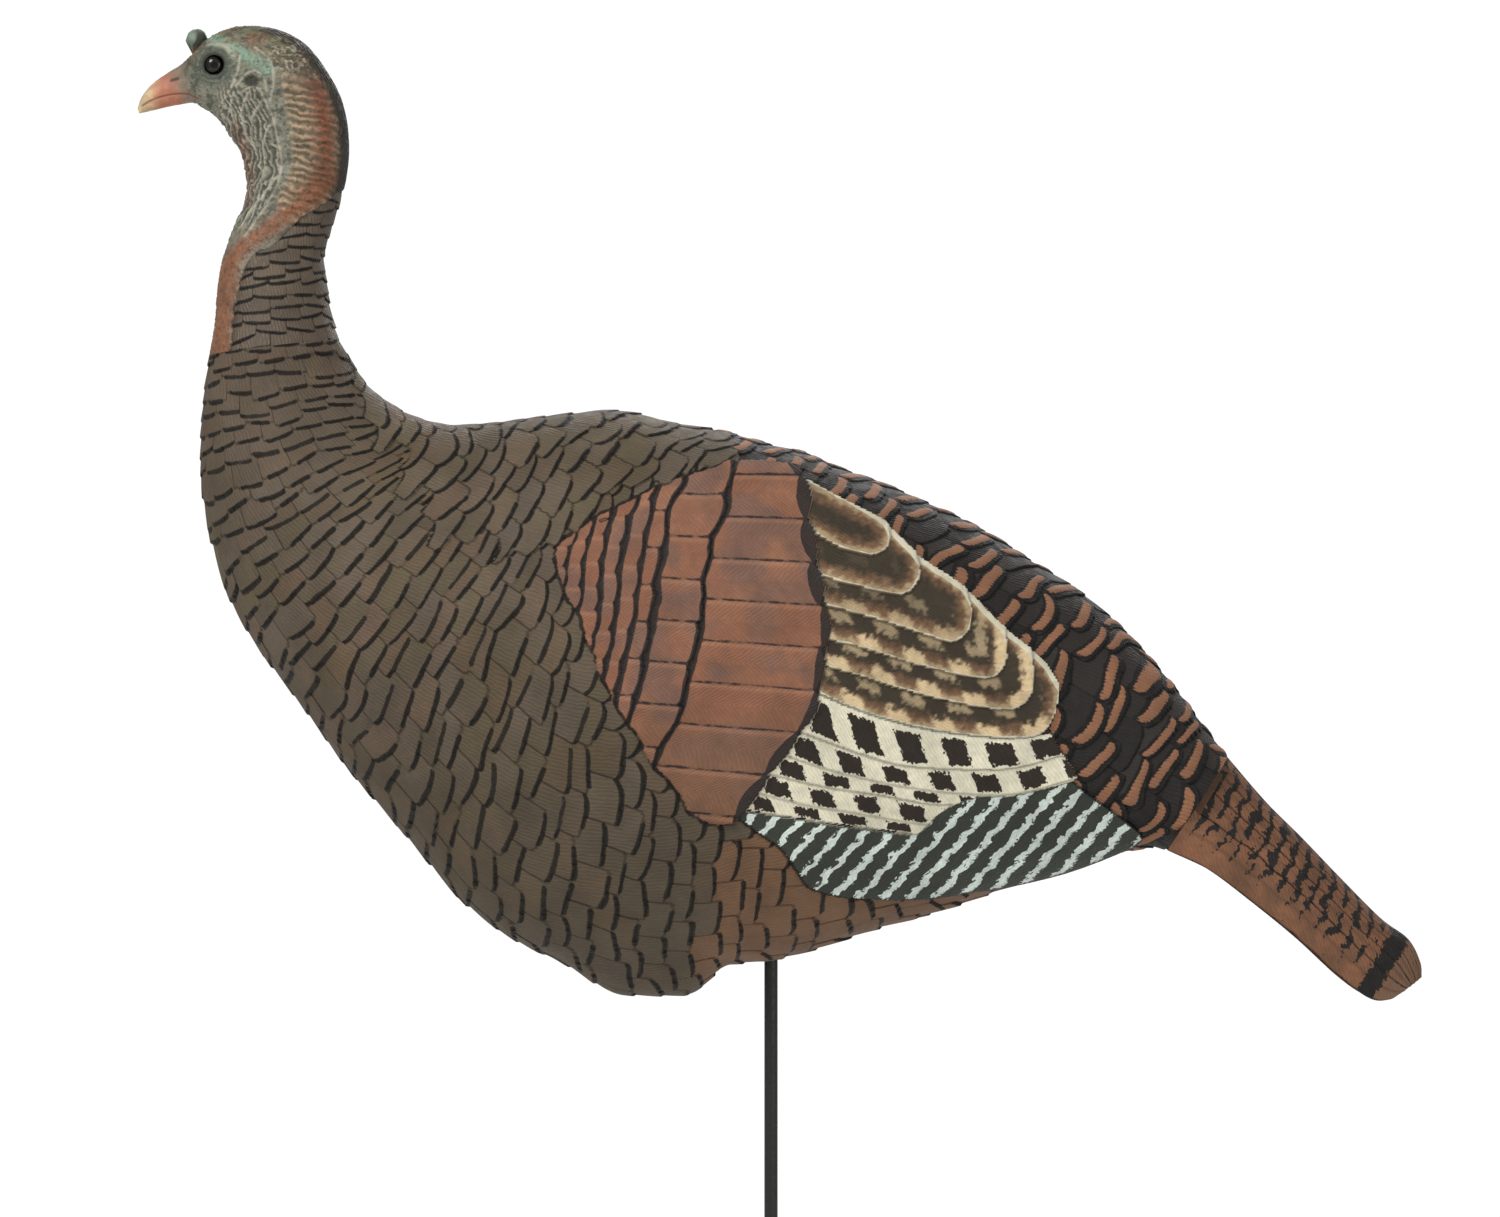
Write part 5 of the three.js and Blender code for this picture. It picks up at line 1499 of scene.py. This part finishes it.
def add_piece(piece, body, slot, *nodes):
    """Puts a finished piece on its body, in the place of its CAD nodes."""
    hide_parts(*nodes)
    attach(piece, body)


BODY_GRID = {"quick": (281, 181), "full": (525, 357)}
HEAD_GRID = {"quick": (221, 101), "full": (421, 201)}
TAIL_GRID = {"quick": (181, 61), "full": (321, 121)}


def grid_size(sizes):
    """A grid's rows and columns for this run."""
    return sizes["full"]


STAKE_HOLE = 7.4  # radius of the belly's hole round the stake's receiver, mm
STAKE_HOLE_INSIDE = 13.0  # and on the inner wall, where points are few
STAKE_HOLE_FADE = 30.0  # the skin is squeezed aside over this width
BELLY_TOP = 300.0


def open_for_stake(points, radius):
    """Pulls the seam's edge under the belly back round the stake's receiver."""
    cut = np.sqrt(np.maximum(radius**2 - points[..., 0] ** 2, 0))
    aside = -points[..., 1]
    moved = cut + aside * (1 - cut / STAKE_HOLE_FADE)
    near = (points[..., 2] < BELLY_TOP) & (aside < STAKE_HOLE_FADE)
    points[..., 1] = np.where(near, -moved, points[..., 1])


def body_shells(material):
    """The body's two halves, each a closed wall. Returns the smooth side that they are raised from."""
    side, height, coat = body_side(*grid_size(BODY_GRID))
    outer = side.points + along_joint(side) * height[..., None]
    inner = (side.points - side.normals * WALL)[::INNER_STEP, ::INNER_STEP].copy()
    outer[:, [0, -1], 1] = -SEAM
    inner[..., 1] = np.minimum(inner[..., 1], -SEAM)
    inner[:, [0, -1], 1] = -SEAM
    open_for_stake(outer, STAKE_HOLE)
    open_for_stake(inner, STAKE_HOLE_INSIDE)
    for name, sign in (("body_left_shell", 1), ("body_right_shell", -1)):
        half = np.array([1, sign, 1])
        points, faces = walled(outer * half, inner * half, INNER_STEP)
        layers = coat_layers(coat, len(points))
        piece = new_mesh(name.replace("shell", "plumage"), points, faces, material, *layers)
        add_piece(piece, "body", "plumage", name)
    return side


def head_skin(material):
    """The head in one closed skin, hollow from the neck joint up to the face."""
    side, outer, inner, coat = head_side(*grid_size(HEAD_GRID))
    hollow_row = np.searchsorted(side.share, HEAD_HOLLOW_TO / (len(HEAD_SECTIONS) - 1))
    hollow_end = int(hollow_row // INNER_STEP) * INNER_STEP
    few = inner[: hollow_end + 1 : INNER_STEP, ::INNER_STEP]
    points, faces = tube(mirrored(outer, both_sides), mirrored(few, both_sides), INNER_STEP)
    piece = new_mesh("head_skin", points, faces, material, *coat_layers(coat, len(points), both_sides))
    add_piece(piece, "head", "head_paint", "head_shell")


BULKHEAD = {"gap": 0.3, "thickness": 5.0, "inset": 3.2}
LUG = {"from": 14.0, "to": 24.0, "front": 8.0, "half_height": 10.0, "clearance": 0.3, "points": 32}


def bulkhead(side):
    """The plate on the tail that closes the rump, behind the body's last section."""
    back = side.points[-1].mean(axis=0) - side.points[-8].mean(axis=0)
    back = back * [1, 0, 1] / np.linalg.norm(back[[0, 2]])
    rim = mirrored((side.points[-1] - side.normals[-1] * BULKHEAD["inset"])[None, ::4], both_sides)[0]
    count = len(rim)
    plates = [rim + back * BULKHEAD["gap"], rim + back * (BULKHEAD["gap"] + BULKHEAD["thickness"])]
    faces = grid_faces(2, count, closed=True) + [list(range(count))[::-1], list(range(count, 2 * count))]
    return np.vstack(plates), faces


def lug(side, sign):
    """An eye plate inside the rump that reaches from the bulkhead round the tail's cross pin."""
    low, high = (np.array(corner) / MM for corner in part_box("tail_cross_pin"))
    pin = ((low + high) / 2)[[0, 2]]
    hole = (high - low)[0] / 2 + LUG["clearance"]
    to_plate = side.points[-1].mean(axis=0)[[0, 2]] - pin
    reach = np.linalg.norm(to_plate) + BULKHEAD["thickness"] / 2
    forward = to_plate / np.linalg.norm(to_plate)
    upward = np.array([-forward[1], forward[0]])
    turn = np.linspace(0, 2 * math.pi, LUG["points"], endpoint=False)[:, None]
    length = np.where(np.cos(turn) > 0, reach, LUG["front"])
    outer = pin + forward * np.cos(turn) * length + upward * np.sin(turn) * LUG["half_height"]
    inner = pin + hole * (forward * np.cos(turn) + upward * np.sin(turn))
    rings = []
    for ring, end in ((inner, "from"), (outer, "from"), (outer, "to"), (inner, "to")):
        rings.append(np.insert(ring, 1, sign * LUG[end], axis=1))
    around = len(turn)
    faces = grid_faces(4, around, closed=True)
    last = 3 * around
    for k in range(around):
        after = (k + 1) % around
        faces.append([after, last + after, last + k, k])
    return np.vstack(rings), faces


def tail_feathers(material, side):
    """The tail with its bulkhead and lugs, behind the body whose smooth side is given."""
    top, under, coat = tail_side(*grid_size(TAIL_GRID))
    roof = walled(mirrored(top, over_ridge), mirrored(under, over_ridge), 1)
    points, faces = joined([roof, bulkhead(side), lug(side, -1), lug(side, 1)])
    layers = coat_layers(coat, len(points), over_ridge, TAIL_BROWN * 0.6)
    piece = new_mesh("tail_feathers", points, faces, material, *layers)
    add_piece(piece, "body", "tail_paint", "tail_fan")


AXIS = 0.01  # a turned piece's radius where it closes on its axis, mm
TURNS = 64  # points round a turned piece
ROD_BEVEL = 0.6
SPIKE = 26.0  # length of the stake's point, mm
EYE_RIM = 0.48  # how far up the eye its dome begins


def lathe(name, profile, material):
    """A turned piece about Z from a closed list of radius and height, in mm."""
    turn = np.linspace(0, 2 * math.pi, TURNS, endpoint=False)
    count = len(profile)
    rings = np.array([[(r * math.cos(t), r * math.sin(t), z) for r, z in profile] for t in turn])
    faces = []
    for k in range(TURNS):
        for n in range(count):
            corners = ((k, n), (k + 1, n), (k + 1, n + 1), (k, n + 1))
            faces.append([(i % TURNS) * count + j % count for i, j in corners])
    return new_mesh(name, rings.reshape(-1, 3), faces, material)


def rod_size(node):
    """A rod's radius, and its bottom and top, from the frame, in mm."""
    low, high = (np.array(corner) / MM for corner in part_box(node))
    return high[0], low[2], high[2]


def eyes(material):
    """A smooth glossy dome on a short stem for each eye, in place of the faceted ones."""
    (x, z), radius, back = eye_place()
    front = -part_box("eye_left")[0].y / MM
    rim = back + EYE_RIM * (front - back)
    steps = np.linspace(0, math.pi / 2, 16)[:-1]
    profile = [(AXIS, 0.0), (radius, 0.0)]
    profile += [(radius * math.cos(a), rim - back + (front - rim) * math.sin(a)) for a in steps]
    profile += [(AXIS, front - back)]
    for name, side in (("eye_left", -1), ("eye_right", 1)):
        piece = lathe(name.replace("eye", "glass_eye"), profile, material)
        for vertex in piece.data.vertices:
            r, h = vertex.co.xy.copy(), vertex.co.z
            vertex.co = (r.x + x * MM, side * (h + back * MM), r.y + z * MM)
        if side < 0:
            piece.data.flip_normals()
        layer = piece.data.attributes.new("from_axis", "FLOAT", "POINT")
        for vertex, value in zip(piece.data.vertices, layer.data):
            value.value = math.hypot(vertex.co.x - x * MM, vertex.co.z - z * MM) / MM
        add_piece(piece, "head", "eye_gloss", name)


def stake(steel):
    """Smooth turned rods in place of the faceted ones: one with rounded ends, and one with a spike."""
    radius, bottom, top = rod_size("stake_upper_rod")
    core = radius - ROD_BEVEL
    arc = [(ROD_BEVEL * math.sin(a), ROD_BEVEL * math.cos(a)) for a in np.linspace(0, math.pi / 2, 5)]
    profile = [(AXIS, top), *((core + out, top - ROD_BEVEL + up) for out, up in arc)]
    profile += [*((core + out, bottom + ROD_BEVEL - up) for out, up in reversed(arc)), (AXIS, bottom)]
    add_piece(lathe("upper_rod", profile, steel), "stake_upper", "black_steel", "stake_upper_rod")

    radius, bottom, top = rod_size("stake_lower_rod")
    # The spike starts with a narrow bevel and ends in a small rounded tip.
    profile = [(AXIS, top), (radius, top), (radius, bottom + SPIKE + 2), (radius - 0.2, bottom + SPIKE)]
    profile += [(0.8, bottom + 1.4), (0.3, bottom + 0.3), (AXIS, bottom)]
    add_piece(lathe("spiked_rod", profile, steel), "stake_lower", "black_steel", "stake_lower_rod")


def materials_for_cad():
    """A material for each slot of the CAD nodes."""
    # Each one's name, colour, roughness, metallic, size of grain in mm and depth of scratches in mm.
    looks = {
        "black_steel": ("coated_steel", paint(12, 12, 8), 0.55, 0.0, 2.0, 0.0),
        "zinc_steel": ("zinc_plate", paint(168, 166, 158), 0.34, 1.0, 2.0, 0.05),
        "nylon": ("natural_nylon", paint(214, 208, 192), 0.46, 0.0, 1.2, 0.0),
        "black_plastic": ("black_moulding", paint(36, 36, 36), 0.5, 0.0, 1.5, 0.0),
        "plumage": ("bare_moulding", PLASTIC, 0.6, 0.0, 2.0, 0.0),
    }
    return {slot: bare_material(*look) for slot, look in looks.items()}


PUPIL = (1.9, 2.15)  # the pupil turns into the iris between these distances from the eye's axis, mm
IRIS = (3.3, 3.6)  # and the iris into the dark rim


def eye_material():
    """Dark glass with a brown iris."""
    t = Tree("glass_eye")
    radius = t.layer("from_axis")
    iris = t.mix(t.cloud(0.7, 3.0), paint(44, 32, 22), paint(22, 17, 13))
    past_iris = t.step(radius, *IRIS)
    inner = t.mix(t.step(radius, *PUPIL), paint(6, 6, 6), iris)
    colour = t.mix(past_iris, inner, paint(8, 8, 8))
    t.shader.inputs["Specular IOR Level"].default_value = 0.35
    return t.finish(colour, t.step(t.cloud(1.0), 0.3, 0.7, 0.10, 0.16))


def make():
    """Paints the CAD nodes, and puts the detailed pieces in the place of eight of them."""
    make_stage()
    looks = materials_for_cad()
    for part in frame["record"]["subparts"]:
        node = frame["nodes"][part["node"]]
        if part["material_slot"] in looks:
            for material_slot in node.material_slots:
                material_slot.material = looks[part["material_slot"]]
    feathers = feather_paint("painted_feathers")
    body = body_shells(feathers)
    head_skin(feather_paint("painted_skin", barb_spacing=2.0, barb_depth=0.12, ragged=0.8, roughness=0.5))
    tail_feathers(feather_paint("painted_tail", ragged=1.6), body)
    eyes(eye_material())
    stake(looks["black_steel"])


make()
